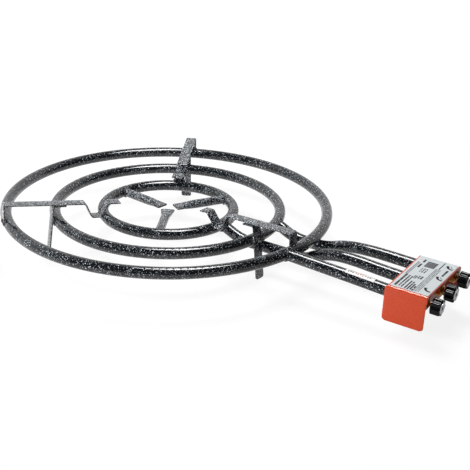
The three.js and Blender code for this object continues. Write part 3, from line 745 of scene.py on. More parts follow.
def print_tree():
    """Rows of short bars with random lengths, which stand for lines of small print."""
    tree, names, given = start_tree("print_rows", {
        "Float": ("Size X", "Size Y", "Bar X", "Bar Y"), "Int": ("Rows", "Columns", "Seed"),
        "Vector": ("Place",), "Material": ("Material",)})
    grid = made(tree, "GeometryNodeMeshGrid", {
        "Size X": given["Size X"], "Size Y": given["Size Y"],
        "Vertices X": given["Rows"], "Vertices Y": given["Columns"]})
    size = xyz(tree, X=given["Bar X"], Y=given["Bar Y"], Z=PRINT_THICKNESS * MM)
    bar = made(tree, "GeometryNodeMeshCube", {"Size": size})
    lengths = add_node(tree, "FunctionNodeRandomValue", {2: 0.55, 3: 1.0, "Seed": given["Seed"]}).outputs[1]
    copies = made(tree, "GeometryNodeInstanceOnPoints", {
        "Points": grid, "Instance": bar, "Scale": xyz(tree, X=1.0, Y=lengths, Z=1.0)})
    finish_tree(tree, moved_by(tree, copies, given["Place"]), given["Material"])
    return tree, names


# Weld beads.
RAY_LEAD = 30.0
WELD_OFFSET = 0.3


def outside_ring(point, name):
    """Distance of a point from a ring's surface, above 0 outside."""
    radius, z = RINGS[name]
    return math.hypot(math.hypot(point[0], point[1]) - radius, point[2] - z) - TUBE_RADIUS


def meet_ring(start, direction, name, reach=40.0, steps=160, halvings=20):
    """Where a ray first meets the ring's surface."""
    start, direction = np.array(start, float), np.array(direction, float)
    direction /= np.linalg.norm(direction)
    low = 0.0
    for high in reach * np.arange(1, steps + 1) / steps:
        if outside_ring(start + direction * high, name) < 0:
            for _ in range(halvings):
                middle = (low + high) / 2
                if outside_ring(start + direction * middle, name) < 0:
                    high = middle
                else:
                    low = middle
            return start + direction * high
        low = high
    return None


def loop_where(points, direction, name):
    """The closed line where rays from the points meet a ring."""
    hits = [meet_ring(point, direction, name) for point in points]
    line = [hit for hit in hits if hit is not None]
    return np.array(line + line[:1])


def loop_around(start, direction, sideways, upwards, name, radius, sides):
    """The closed line where a tube along a direction meets a ring."""
    offsets = round_section(radius, sides)
    sideways, upwards = np.array(sideways), np.array(upwards)
    return loop_where([start + sideways * across + upwards * up for across, up in offsets], direction, name)


def bead(line, radius, seed, closed=False, spacing=0.55, ripple=0.16, ripple_pitch=2.2, lumps=0.35):
    """A weld bead: a lumpy rope with ripples. An open bead narrows to its ends."""
    line = np.asarray(line, float)
    run = np.concatenate([[0], np.cumsum(np.linalg.norm(np.diff(line, axis=0), axis=1))])
    total = run[-1]
    places = np.linspace(0, total, max(12, int(total / spacing)), endpoint=not closed)
    fine = np.stack([np.interp(places, run, line[:, i]) for i in range(3)], 1)
    sections = []
    for i, place in enumerate(places):
        lump = noise.noise(Vector((place * 0.35, seed * 7.3, 0.5)))
        size = radius * (1 + ripple * math.sin(place * 2 * math.pi / ripple_pitch) + lumps * lump)
        if not closed:
            size *= min(1.0, math.sqrt(max(0.02, min(place, total - place) / (1.4 * radius))))
        sections.append(round_section(size, 10))
        fine[i] += 0.25 * np.array([noise.noise(Vector((place * 0.5, seed, k))) for k in (2.0, 5.0, 8.0)])
    return swept(fine, sections, closed=closed)


# Rings, feed tubes and spokes.
def add_rings():
    tree, names = ring_tree()
    for name, (radius, z) in RINGS.items():
        ports = round(2 * math.pi * radius / PORT_PITCH)
        ring = from_tree(f"{name}_ring", tree, names, {
            "Ring Radius": radius * MM, "Tube Radius": TUBE_RADIUS * MM, "Wall": TUBE_WALL * MM,
            "Height": z * MM, "Centre X": RING_X * MM, "Ports": ports, "Port Radius": PORT_RADIUS * MM,
            "Port Tilt": math.radians(PORT_TILT_DEGREES), "Segments": ports * 2, "Material": ENAMEL,
        }, 40.0)
        hold(ring, [f"{name}_ring_tube"])


def feed_line(name):
    y, corners = FEEDS[name]
    return smooth_line([(x, y, RING_HEIGHT + z) for x, z in corners])


def add_feed_tubes():
    beads = []
    for name in FEEDS:
        line = feed_line(name)
        tube = swept(line, [round_section(TUBE_RADIUS, 40)] * len(line), side=(0, 1, 0))
        radius, z = RINGS[name]
        ring_line = np.column_stack([round_section(radius, 180), np.full(180, z)])
        core_section = round_section(TUBE_RADIUS - FEED_OVERLAP, 24)
        ring_core = swept(ring_line, [core_section] * 180, side=(0, 0, 1), closed=True)
        piece = cut_by(tube, [ring_core], f"{name}_feed_pipe", ENAMEL)
        keep_largest_part(piece.data)
        hold(piece, [f"{name}_feed_tube"])

        direction = line[0] - line[4]
        direction /= np.linalg.norm(direction)
        up = np.cross(direction, (0, 1, 0))
        start = line[0] - direction * RAY_LEAD
        seam = loop_around(start, direction, (0, 1, 0), up, name, TUBE_RADIUS + WELD_OFFSET, 48)
        beads.append(bead(seam, 1.9, len(beads) + 1, closed=True))
    add_piece("feed_tube_welds", beads, WELD, sharp_degrees=60)


def spoke_stations(tip, lip_share):
    """Half widths, half heights and squareness from the flattened lip to the round root."""
    round_end = (SPOKE_RADIUS, SPOKE_RADIUS, 2.0)
    flat = [
        (0.0, 12.5, 1.9, 6.0), (2.0, 12.6, 2.2, 6.0), (9.0, 11.6, 2.6, 5.0), (14.5, 10.6, 3.6, 3.6),
        (20.0, 9.8, 5.1, 2.8), (26.5, 8.8, 6.7, 2.3), (34.0, 8.1, 7.8, 2.05), (41.5, *round_end)]
    stations = [(tip + r, SPOKE_RADIUS + (w - SPOKE_RADIUS) * lip_share, h, q) for r, w, h, q in flat]
    return np.array(stations + [(SPOKE_ROOT, *round_end)])


def oval_section(half_width, half_height, squareness, sides=36):
    circle = round_section(1.0, sides)
    return (half_width, half_height) * np.copysign(np.abs(circle) ** (2 / squareness), circle)


def add_spokes():
    ring_r, z = RINGS["inner"]
    beads = []
    for number, (direction, tip, lip_share) in enumerate(SPOKES, 1):
        stations = spoke_stations(tip, lip_share)
        places = np.concatenate([np.linspace(tip, 50, 30), np.linspace(54, SPOKE_ROOT, 14)])
        shapes = [np.interp(places, stations[:, 0], stations[:, k]) for k in (1, 2, 3)]
        sections = [oval_section(*shape) for shape in zip(*shapes)]
        line = np.column_stack([places, np.zeros(len(places)), np.full(len(places), z)])
        points, faces = swept(line, sections, side=(0, 1, 0))

        # The lip's end is open: a rim inside its edge leads to the bottom of the hollow.
        count = len(sections[0])
        middle = (tip, 0, z)
        rim = middle + (points[:count] - middle) * (1, *SPOKE_MOUTH)
        edge, rim_row, deep_row = (list(range(i, i + count)) for i in (0, len(points), len(points) + count))
        faces = [face for face in faces if len(face) == 4 or face[0] != count - 1]
        faces += inside_out(band(edge, rim_row) + band(rim_row, deep_row)) + [tuple(deep_row)]
        points = in_place(np.vstack([points, rim, rim + (SPOKE_MOUTH_DEPTH, 0, 0)]), direction)
        nodes = [f"spoke_{number}"]
        add_piece(f"spoke_tube_{number}", [(points, faces)], ENAMEL_WITH_PAINTED_LIGHT, nodes)

        outwards, sideways = in_place([(1, 0, 0), (0, 1, 0)], direction)
        start = outwards * (ring_r - RAY_LEAD) + (0, 0, z)
        seam = loop_around(start, outwards, sideways, (0, 0, 1), "inner", SPOKE_RADIUS + WELD_OFFSET, 40)
        beads.append(bead(seam, 1.8, 9 + number, closed=True))
    add_piece("spoke_welds", beads, WELD, sharp_degrees=60)


# Pan supports and legs.
def strip_along(line, direction, turn, scales):
    """A strip along a line of radius and height, with a scale of its section for each point."""
    base = strip_section(STRIP_WIDTH, STRIP_THICKNESS)
    points = np.column_stack([line[:, 0], np.zeros(len(line)), RING_HEIGHT + line[:, 1]])
    points, faces = swept(points, [base * scale for scale in scales], side=(0, 1, 0))
    return in_place(points, direction, turn), faces


def add_supports():
    for number, (direction, turn, corners) in enumerate(SUPPORTS, 1):
        line = bent_line(corners, SUPPORT_BENDS)
        first, last = line[0] + (line[1] - line[0]) * 0.06, line[-1] + (line[-2] - line[-1]) * 0.06
        line = np.vstack([line[:1], [first], line[1:-1], [last], line[-1:]])
        worn_end, full = (0.97, 0.80), (1.0, 1.0)
        strip = strip_along(line, direction, turn, [worn_end] + [full] * (len(line) - 2) + [worn_end])
        nodes = [f"pan_support_{number}"]
        add_piece(f"support_bar_{number}", [strip], ENAMEL_WITH_PAINTED_LIGHT, nodes)


def leg_line():
    return bent_line(LEG_LINE, (LEG_BEND,), spacing=5.0)


def add_legs():
    line = leg_line()
    top, foot = line[-2], line[-1]
    shares = LEG_CORNER_RADIUS * (1 - np.arange(1, 9) / 8) / (top[1] - foot[1])
    line = np.vstack([line[:-1], [foot + (top - foot) * share for share in shares]])
    low = np.maximum(0.0, LEG_CORNER_RADIUS - (line[:, 1] + RING_HEIGHT))
    inset = LEG_CORNER_RADIUS - np.sqrt(np.maximum(0.0, LEG_CORNER_RADIUS ** 2 - low ** 2))
    scales = [(1 - 2 * i / STRIP_WIDTH, 1.0) for i in inset]
    for number, (direction, turn, _) in enumerate(SUPPORTS, 1):
        points, faces = strip_along(line, direction, turn, scales)
        points[:, 2] = np.maximum(points[:, 2], 0.0)
        add_piece(f"leg_strip_{number}", [(points, faces)], ENAMEL_WITH_PAINTED_LIGHT, [f"leg_{number}"])


def add_strip_welds():
    beads = []
    half = STRIP_WIDTH / 2
    middle_r, middle_z = RINGS["middle"]
    inner_r, inner_z = RINGS["inner"]
    foot_section = strip_section(STRIP_WIDTH + 2 * WELD_OFFSET, STRIP_THICKNESS + 2 * WELD_OFFSET)
    for i, (direction, turn, corners) in enumerate(SUPPORTS):
        above = [(corners[0][0] + up, across, RING_HEIGHT + RAY_LEAD) for across, up in foot_section]
        foot = loop_where(in_place(above, direction, turn), (0, 0, -1), "outer")
        beads.append(bead(foot, 1.5, 20 + i, closed=True))
        for side in (-1, 1):
            rise = [(middle_r + math.sqrt(TUBE_RADIUS ** 2 - dz ** 2), side * (half + 0.4), middle_z + dz)
                    for dz in np.linspace(-6, 7, 9)]
            lap = [(inner_r + TUBE_RADIUS * math.cos(a), side * (half + WELD_OFFSET),
                    inner_z + TUBE_RADIUS * math.sin(a)) for a in np.radians(np.linspace(15, 70, 9))]
            under = [(r, side * (half + 0.1), RING_HEIGHT + z + 1.3) for r, z in leg_line()[:4]]
            for line, radius, seed in ((rise, 1.7, 30), (lap, 1.6, 50), (under, 1.1, 70)):
                beads.append(bead(in_place(line, direction, turn), radius, seed + i * 2 + side))
    add_piece("strip_welds", beads, WELD, sharp_degrees=60)


# Cover, frame, label and sticker.
def folded_sheet(corners, bend, thickness, ends, steps=8, columns=16):
    """A sheet folded in the plane of Y and Z; ends gives its X range at a side and height."""
    line = bent_line(corners, (bend, bend), steps=steps, spacing=2.5)
    along = tangents(line, False)
    normal = np.stack([-along[:, 1], along[:, 0]], 1)
    points = []
    for side in (1, -1):
        for (y, z), n in zip(line, normal):
            back, front = ends(y, z)
            y, z = np.array([y, z]) + side * n * thickness / 2
            points += [(back + (front - back) * k / columns, y, z) for k in range(columns + 1)]
    rows, count = len(line), columns + 1
    faces = []
    for base, over in ((0, False), (rows * count, True)):
        for i in range(rows - 1):
            for a in range(base + i * count, base + i * count + columns):
                face = (a, a + 1, a + count + 1, a + count)
                faces.append(tuple(reversed(face)) if over else face)
    lower = rows * count
    last = lower - count
    for k in range(columns):
        end = last + k
        faces += [(k + 1, k, lower + k, lower + k + 1), (end, end + 1, lower + end + 1, lower + end)]
    for a in range(0, last, count):
        b, c, d = a + count, a + columns, a + count + columns
        faces += [(a, b, lower + b, lower + a), (d, c, lower + c, lower + d)]
    return np.array(points), faces


def cover_ends(y, z):
    """The cover's X range, with rounded low corners, sides behind the corner tabs and an askew rear edge."""
    tab = COVER_HIGH[2] - COVER_TAB_HEIGHT
    front = COVER_FRONT_X if z > tab else max(COVER_SIDE_END_X, COVER_FRONT_X - (tab - z) * 0.4)
    drop = max(0.0, COVER_CORNER_RADIUS - (z - COVER_LOW[2]))
    inset = COVER_CORNER_RADIUS - math.sqrt(max(0.0, COVER_CORNER_RADIUS ** 2 - drop ** 2))
    far, near = REAR_SKEW_HEIGHTS
    rise = min(1.0, max(0.0, (z - COVER_HIGH[2] + far) / (far - near)))
    askew = REAR_SKEW * rise * min(1.0, (COVER_HIGH[1] - y) / (COVER_HIGH[1] - COVER_LOW[1]))
    return COVER_BACK_X + inset + askew, front - inset


def both_sides(half):
    """An outline from its +Y half, mirrored to -Y first."""
    return [(-y, z) for y, z in half] + [(y, z) for y, z in reversed(half)]


def add_cover():
    side = (COVER_HIGH[1] - COVER_LOW[1] - COVER_THICKNESS) / 2
    top = COVER_HIGH[2] - COVER_THICKNESS / 2
    low = COVER_LOW[2]
    corners = [(-side, low), (-side, top), (side, top), (side, low)]
    inlet_hole = on_rail(rod(side - 8, side + 8, INLET_HOLE_RADIUS), 64)
    sheet = folded_sheet(corners, COVER_BEND, COVER_THICKNESS, cover_ends)

    lip_z = COVER_HIGH[2] - COVER_LIP_HEIGHT
    tab_z = COVER_HIGH[2] - COVER_TAB_HEIGHT
    inner = side - COVER_TAB_WIDTH
    outline = both_sides([(side, tab_z), (side, top - COVER_LIP_CORNER), (side - COVER_LIP_CORNER, top)])
    notch = [(inner + 1, tab_z), (inner, tab_z + 1), (inner, lip_z - 1), (inner - 1, lip_z)]
    outline += notch + [(-y, z) for y, z in reversed(notch)]
    lip = flat_block(outline, (COVER_FRONT_X - COVER_THICKNESS, COVER_FRONT_X))
    cover = cut_by(sheet, [inlet_hole], "cover_sheet", POWDER_COAT, 30, added=[lip])
    soften_edges(cover, POWDER_COAT, 0.35)
    hold(cover, ["tap_cover"])


def frame_ends(y, z):
    """The frame's X range: its web is short, and its ears reach to the front wall."""
    back, web_end, ear_end = FRAME_X
    return back, web_end if abs(y) < FRAME_HALF_WIDTH - FRAME_BEND else ear_end


def add_frame():
    half, web_z = FRAME_HALF_WIDTH, FRAME_WEB_Z
    corners = [(-half, FRAME_EAR_Z), (-half, web_z), (half, web_z), (half, FRAME_EAR_Z)]
    sheet = leaning(folded_sheet(corners, FRAME_BEND, FRAME_THICKNESS, frame_ends))
    rail_hole = leaning(on_rail(rod(-80, 80, RAIL_RADIUS + 0.3), 48))
    piece = cut_by(sheet, [rail_hole], "frame_channel", POWDER_COAT, 30)
    soften_edges(piece, POWDER_COAT, SHEET_EDGE)
    hold(piece, ["tap_frame"])

    # Front wall, with a hole for the neck of each tap body and a lower part on the inlet's side.
    low, high = FRAME_WALL_Z
    narrow, step = FRAME_WALL_HALF_WIDTH, web_z - 3
    outline = both_sides([(half, low), (half, step), (narrow, step), (narrow, high - 4), (narrow - 4, high)])
    outline[-1:] = [(half, low - FRAME_WALL_DROP), (30.0, low - FRAME_WALL_DROP), (26.0, low)]
    wall = leaning(flat_block(outline, FRAME_WALL_X))
    neck = rod(FRAME_WALL_X[0] - 4, FRAME_WALL_X[1] + 4, TAP_NECK_RADIUS + 0.4)
    necks = [leaning(turned(neck, y, TAP_Z, 48)) for y in TAP_Y]
    front = cut_by(wall, necks, "frame_front_wall", POWDER_COAT, 30)
    soften_edges(front, POWDER_COAT, SHEET_EDGE)
    hold(front)


def plate(low, high, height, thickness, radius, steps=6):
    """A flat plate with rounded corners, seen from above."""
    low, high = np.array(low), np.array(high)
    outline = strip_section(*(high - low), radius, steps)
    layers = ((1.0, 0.0), (1.0, thickness * 0.6), (0.998, thickness))
    centre = (*(low + high) / 2, height)
    flat = np.column_stack([outline, np.zeros(len(outline))])
    solid = np.vstack([centre + flat * scale + (0, 0, rise) for scale, rise in layers])
    bottom, edge, top = row_numbers(3, len(outline))
    return solid, [tuple(reversed(bottom)), tuple(top)] + band(bottom, edge) + band(edge, top)


def arc_strip(x, y, radius, width, start, end, height):
    """A curved mark that narrows to one end, lying flat."""
    angles = np.radians(np.linspace(start, end, 15))
    line = [(x + radius * math.cos(a), y + radius * math.sin(a), height) for a in angles]
    t = PRINT_THICKNESS / 2
    corners = np.array([(t, 1), (t, -1), (-t, -1), (-t, 1)])
    return swept(line, [corners * (1, half) for half in width / 2 * np.linspace(1, 0.7, 15)], side=(0, 0, 1))


# Blocks of print: X, Y, length along X and Y, rows, columns, bar width and length, seed and ink.
PRINT_BLOCKS = (
    ("heading", 478.0, -36.0, 0.0, 45.0, 1, 15, 3.6, 3.4, 10, INK),
    ("thin_heading", 476.0, 14.0, 2.6, 48.0, 2, 14, 1.5, 4.2, 11, GREY_INK),
    ("line_a", 483.8, -36.5, 0.0, 38.0, 1, 7, 2.2, 8.0, 18, INK),
    ("line_b", 488.5, -38.0, 0.0, 38.0, 1, 7, 2.2, 8.0, 19, INK),
    ("line_c", 494.3, -47.0, 0.0, 22.0, 1, 4, 2.4, 9.0, 20, INK),
    ("line_d", 498.6, -47.0, 0.0, 22.0, 1, 4, 2.4, 9.0, 21, INK),
    ("line_e", 502.6, -49.5, 0.0, 15.0, 1, 3, 2.4, 9.0, 22, INK),
    ("line_f", 506.2, -54.5, 0.0, 10.0, 1, 2, 2.3, 9.0, 23, INK),
    ("mid_print", 492.6, -16.0, 2.4, 8.0, 2, 3, 1.9, 3.4, 24, INK),
    ("notes", 493.8, 13.4, 8.0, 12.0, 3, 3, 2.3, 4.6, 16, INK),
    ("mark", 499.9, -13.0, 4.2, 6.0, 2, 2, 3.0, 5.4, 9, INK),
    ("footer", 512.0, -15.0, 7.4, 88.0, 4, 24, 1.3, 3.1, 28, INK),
    ("line_of_words", 525.6, 23.0, 0.0, 18.0, 1, 4, 3.4, 6.8, 13, INK),
)
# Solid bars: X range, Y range and edge radius. The first is grey.
PRINT_BARS = (
    ((487.6, 504.8), (27.6, 46.0), 0.03),
    ((487.6, 504.8), (46.6, 49.6), 0.03), ((511.2, 512.9), (31.0, 60.0), 0.02),
    ((480.1, 483.3), (19.4, 35.2), 0.03), ((480.1, 483.3), (41.8, 53.5), 0.03))
# Curved marks: X, Y, radius, width, and start and end in degrees.
PRINT_ARCS = (
    (530.0, -41.7, 9.2, 4.4, 172, 280), (530.0, 5.2, 9.2, 4.4, 172, 280), (529.2, 51.4, 9.2, 4.4, 172, 280),
    (531.0, 6.5, 5.4, 1.1, 180, 275), (530.5, 52.6, 5.4, 1.1, 180, 275))


def add_label():
    low = (LABEL_LOW[0] - RING_X, LABEL_LOW[1])
    high = (LABEL_HIGH[0] - RING_X + LABEL_FRONT, LABEL_HIGH[1])
    top = LABEL_HIGH[2]
    points, faces = plate(low, high, LABEL_LOW[2], top - LABEL_LOW[2], LABEL_CORNER)
    inward = (high[0] - points[:, 0]) / (high[0] - low[0])
    points[:, 0] += REAR_SKEW * inward * (high[1] - points[:, 1]) / (high[1] - low[1])
    add_piece("label_foil", [(points, faces)], LABEL_FOIL, ["label_plate"])

    tree, names = print_tree()
    for name, x, y, size_x, size_y, rows, columns, bar_x, bar_y, seed, ink in PRINT_BLOCKS:
        marks = from_tree(f"label_{name}", tree, names, {
            "Size X": size_x * MM, "Size Y": size_y * MM, "Rows": rows, "Columns": columns,
            "Bar X": bar_x * MM, "Bar Y": bar_y * MM, "Seed": seed, "Material": ink,
            "Place": ((x + RING_X) * MM, y * MM, (top + PRINT_RISE) * MM),
        }, 30.0)
        hold(marks)
    bottom_z, top_z = (top + rise for rise in BAR_RISE)
    bars = [rounded_block((x0, y0, bottom_z), (x1, y1, top_z), edge)
            for (x0, x1), (y0, y1), edge in PRINT_BARS]
    add_piece("label_block", bars[:1], GREY_INK)
    add_piece("label_rules", bars[1:], INK)
    arcs = [arc_strip(*arc, top + ARC_RISE) for arc in PRINT_ARCS]
    add_piece("label_turn_arcs", arcs, INK)


def add_tube_sticker():
    full = feed_line("outer")

    def on_line(x):
        return np.array([x, full[0, 1], np.interp(x, full[:, 0], full[:, 2])])

    start, end = STICKER_X
    line = np.vstack([on_line(start), full[(full[:, 0] > start) & (full[:, 0] < end)], on_line(end)])
    angles = np.radians(np.linspace(90 - STICKER_HALF_ANGLE, 90 + STICKER_HALF_ANGLE, 25))
    arc = np.stack([np.cos(angles), np.sin(angles)], 1)
    inner, outer = (TUBE_RADIUS + rise for rise in STICKER_RISE)
    section = -np.vstack([arc * outer, arc[::-1] * inner])
    foil = swept(line, [section] * len(line), side=(0, 1, 0))
    add_piece("sticker_foil", [foil], STICKER_FOIL, ["tube_sticker"])

    marks = {"red": [], "grey": []}
    for k, (x, length, ink) in enumerate(STICKER_MARKS):
        lean = math.radians(104 - 5 * (k % 2))
        points = []
        for along in (-length / 2, length / 2):
            for angle in (lean - 0.16, lean - 0.05, lean + 0.05, lean + 0.16):
                out = np.array([0, -abs(math.cos(angle)), math.sin(angle)])
                points.append(on_line(x) + (along, 0, 0) + out * (TUBE_RADIUS + MARK_RISE))
        marks[ink].append((np.array(points), [(i, i + 1, i + 5, i + 4) for i in range(3)]))
    add_piece("sticker_red_marks", marks["red"], RED_INK)
    add_piece("sticker_grey_marks", marks["grey"], GREY_INK)


# Taps, rail and knobs.
def hexagon(across_flats, turn=0.0):
    def radius(angle, x, limit):
        step = (angle + turn) % (math.pi / 3) - math.pi / 6
        return min(limit, across_flats / 2 / math.cos(step))
    return radius


def threaded(pitch, depth, start, end):
    """Thread on a stretch of X, a helix that fades at its ends."""
    def radius(angle, x, r):
        if not start <= x <= end:
            return r
        phase = ((x - start) / pitch - angle / (2 * math.pi)) % 1.0
        fade = min(1.0, (x - start) / pitch, (end - x) / pitch)
        return r - depth * abs(2 * phase - 1) * fade
    return radius


def with_flat(angle, x, r):
    """The spindle's end has a flat that the knob's hole fits."""
    start, height = SPINDLE_FLAT
    lift = math.sin(angle)
    return r if x < start or r * lift < height else height / lift


def spring_body(y, steps=24):
    length = SPRING_X[1] - SPRING_X[0] - 2 * SPRING_WIRE
    share = np.arange(SPRING_TURNS * steps + 1) / (SPRING_TURNS * steps)
    angles = 2 * math.pi * SPRING_TURNS * share
    line = np.column_stack([
        SPRING_X[0] + SPRING_WIRE + length * share,
        y + SPRING_RADIUS * np.cos(angles), TAP_Z + SPRING_RADIUS * np.sin(angles)])
    return swept(line, [round_section(SPRING_WIRE, 10)] * len(line))


def knob_shape(angle, x, radius, turn):
    """Eight broad flutes between narrow ridges, from just above the skirt to the face."""
    if radius < KNOB_FACE_RADIUS:
        return radius
    flute = (0.5 - 0.5 * math.cos(8 * (angle - turn))) ** 0.8
    fade = min(1.0, max(0.0, x - KNOB_X[0] - 0.6))
    near_face = min(1.0, (radius - KNOB_FACE_RADIUS) / (KNOB_RADIUS - 2.4 - KNOB_FACE_RADIUS))
    return radius - KNOB_FLUTE_DEPTH * flute * fade * near_face


def knob_body(y, turn):
    back, front = KNOB_X
    r = KNOB_RADIUS
    profile = [
        (back + 6, 0), (back + 6, 3.6), (back + 0.4, 3.6), (back, 4.0), (back, r - 1.0),
        (back + 0.3, r - 0.3), (back + 1.0, r), (back + 1.8, r), (back + 2.6, r - 0.05),
        (back + 6, r - 0.1), (front - 3, r - 0.2), (front - 1.4, r - 0.35), (front - 0.7, r - 0.75),
        (front - 0.25, r - 1.45), (front, r - 2.4),
        (front, 6.2), (front - 0.35, 5.6), (front - 0.5, 5.0), (front - 0.5, 2.7), (front - 0.7, 2.3),
        (front - 1.8, 2.2), (front - 1.8, 0)]
    return turned(profile, y, TAP_Z, 128, lambda angle, x, radius: knob_shape(angle, x, radius, turn))


def knob_face(y):
    """Thin satin disc on the knob's end, around its hole."""
    front = KNOB_X[1]
    return turned([(front + x, r) for x, r in (
        (-0.3, 3.4), (0.15, 3.4), (0.3, 3.7), (0.3, 9.2), (0.15, 9.6), (-0.3, 9.6))], y, TAP_Z, 96)


def add_tap(number, y):
    def turned_here(profile, sides, shape=None):
        return turned(profile, y, TAP_Z, sides, shape)

    def add(name, bodies, material, node=None, body="burner", sharp_degrees=38.0):
        nodes = [f"{node}_{number}"] if node else ()
        bodies = [leaning(b) for b in bodies]
        return add_piece(f"{name}_{number}", bodies, material, nodes, body, sharp_degrees)

    back, front = INJECTOR_X
    jet = turned_here([
        (back, 0.9), (back + 0.4, 3.0), (back + 0.9, 3.5), (back + 9.4, 3.5), (back + 9.8, 3.2),
        (back + 10.2, 3.5), (back + 10.2, 0.9)], 40)
    head = turned_here(chamfered(back + 10, front, 5.6, 0.6, 0.9), 72, hexagon(INJECTOR_FLATS))
    add("injector_jet", [jet, head], BRASS, "injector")

    back, front = TAP_BODY_X
    barrel = turned_here([
        (back, 3.5), (back, 5.0), (back + 1, 6.0), (491.4, 6.0), (491.8, 6.6), (492, 9.6), (492.6, 10.6),
        (493.4, 11.0), (499, 11.0), (499.5, 10.6), (508.5, 10.6), (509, 11.0), (512.4, 11.0), (513.4, 10.5),
        (514, 9.6), (514, TAP_NECK_RADIUS), (front, TAP_NECK_RADIUS), (front, 3.5)], 72)
    foot, faces = turned([
        (RAIL_Z + 9.6, 0), (RAIL_Z + 9.6, 6.0), (TAP_Z - 9.5, 6.0), (TAP_Z - 9.0, 6.4), (TAP_Z - 6, 6.4),
        (TAP_Z - 6, 0)], 0, 0, 40)
    foot = np.stack([RAIL_X + foot[:, 1], y + foot[:, 2], foot[:, 0]], 1)
    add("tap_barrel", [barrel, (foot, faces)], BRASS, "tap_body")

    back, front = GLAND_X
    nut = turned_here(chamfered(back, front - 1.5, 11.3, 0.9, 6.0), 72, hexagon(GLAND_FLATS, math.pi / 6))
    neck = turned_here([
        (front - 2.1, 6.0), (front - 2.1, 8.5), (front - 0.7, 8.5), (front, 7.8), (front, 6.0)], 64)
    add("gland_hex", [nut, neck], BRASS, "gland_nut")

    spring = add("spring_coil", [spring_body(y)], STEEL, "return_spring")
    fixed = leaning(([(SPRING_X[0], y, TAP_Z)], []))[0][0]
    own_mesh(spring)

    collar = turned_here(chamfered(*COLLAR_X, COLLAR_RADIUS, 0.3, 3.5), 56)
    add("collar_ring", [collar], STEEL, "push_collar", f"push_stem_{number}")

    knob = f"tap_knob_{number}"
    back, front = SPINDLE_X
    r = SPINDLE_RADIUS
    flat_x = SPINDLE_FLAT[0]
    spindle = turned_here([
        (back, 0), (back, r - 0.4), (back + 0.5, r), (flat_x, r), (flat_x + 0.05, r), (front - 0.3, r),
        (front, r - 0.3), (front, 0)], 64, with_flat)
    add("spindle_rod", [spindle], BRASS, "spindle", knob)
    add("knob_body", [knob_body(y, KNOB_TURNS[number - 1])], PLASTIC, "knob", knob, 32)
    add("knob_face", [knob_face(y)], KNOB_FACE, None, knob, 32)


def add_rail():
    start, end = RAIL_Y
    r = RAIL_RADIUS
    rail = on_rail([
        (start, 7.2), (start, r - 0.4), (start + 0.4, r), (end - 0.4, r), (end, r - 0.4), (end, 7.2)], 64)
    plug = on_rail([
        (start + 0.5, 0), (start + 0.5, 2.6), (start + 1.6, 3.0), (start + 1.0, 3.4), (start + 1.0, 6.2),
        (start + 1.4, 6.7), (start + 8, 6.7), (start + 8, 0)], 48)
    add_piece("rail_tube", [leaning(rail)], STEEL, ["gas_rail"])
    add_piece("rail_plug", [leaning(plug)], STEEL, ["rail_end_plug"])

    y = end + 0.3
    nut = on_rail(chamfered(y, y + 9, 12.0, 0.8, 4.0), 72, hexagon(INLET_FLATS))
    neck = on_rail([
        (y + 8.8, 4.0), (y + 8.8, 8.0), (y + 10.6, 8.0), (y + 11.2, 7.2), (y + 12, 6.2), (y + 12, 4.0)], 56)
    thread = [(x, 7.0) for x in np.arange(y + 11.8, y + 21.2, 0.25)]
    thread = [(y + 11.8, 4.0)] + thread + [(y + 22, 6.0), (y + 22, 4.0)]
    tail = on_rail(thread, 48, threaded(1.8, 0.8, y + 12.2, y + 21.2))
    add_piece("inlet_nozzle", [leaning(b) for b in (nut, neck, tail)], BRASS, ["gas_inlet"])


# Floor, light and camera.
def add_floor():
    """White for the camera, and dimmer in reflections under the feed tubes, the cover and the knobs."""
    size = FLOOR_SIZE
    mesh = bpy.data.meshes.new("floor")
    corners = [(-size, -size, 0), (size, -size, 0), (size, size, 0), (-size, size, 0)]
    mesh.from_pydata(corners, [], [(0, 1, 2, 3)])
    material = bpy.data.materials.new("floor_white")
    material.use_nodes = True
    tree = material.node_tree
    tree.nodes.clear()
    rays = tree.nodes.new("ShaderNodeLightPath").outputs
    shade = mix_colour(tree, rays["Is Diffuse Ray"], (0.2, 0.2, 0.2, 1), (0.5, 0.5, 0.5, 1))
    paper = made(tree, "ShaderNodeBsdfDiffuse", {"Color": shade})
    place = tree.nodes.new("ShaderNodeTexCoord").outputs["Object"]
    along = made(tree, "ShaderNodeSeparateXYZ", {"Vector": place})
    dark_part = math_node(tree, "SUBTRACT", ramp(tree, along, 0.1, 0.4), ramp(tree, along, 0.44, 0.5))
    fading = math_node(tree, "MULTIPLY_ADD", dark_part, -0.75, 1.0)
    mirrored = math_node(tree, "MAXIMUM", rays["Is Glossy Ray"], rays["Is Transmission Ray"])
    seen = math_node(tree, "MAXIMUM", rays["Is Camera Ray"], math_node(tree, "MULTIPLY", mirrored, fading))
    away = add_node(tree, "ShaderNodeVectorMath", {0: place}, operation="LENGTH").outputs["Value"]
    level = ramp(tree, away, 0.7, 2.0, FLOOR_GLOW, 1.0)
    glow = made(tree, "ShaderNodeEmission", {
        "Color": (1, 1, 1, 1), "Strength": math_node(tree, "MULTIPLY", seen, level)})
    add_node(tree, "ShaderNodeOutputMaterial", {0: made(tree, "ShaderNodeAddShader", {0: paper, 1: glow})})
    mesh.materials.append(material)
    new_object("floor", mesh)


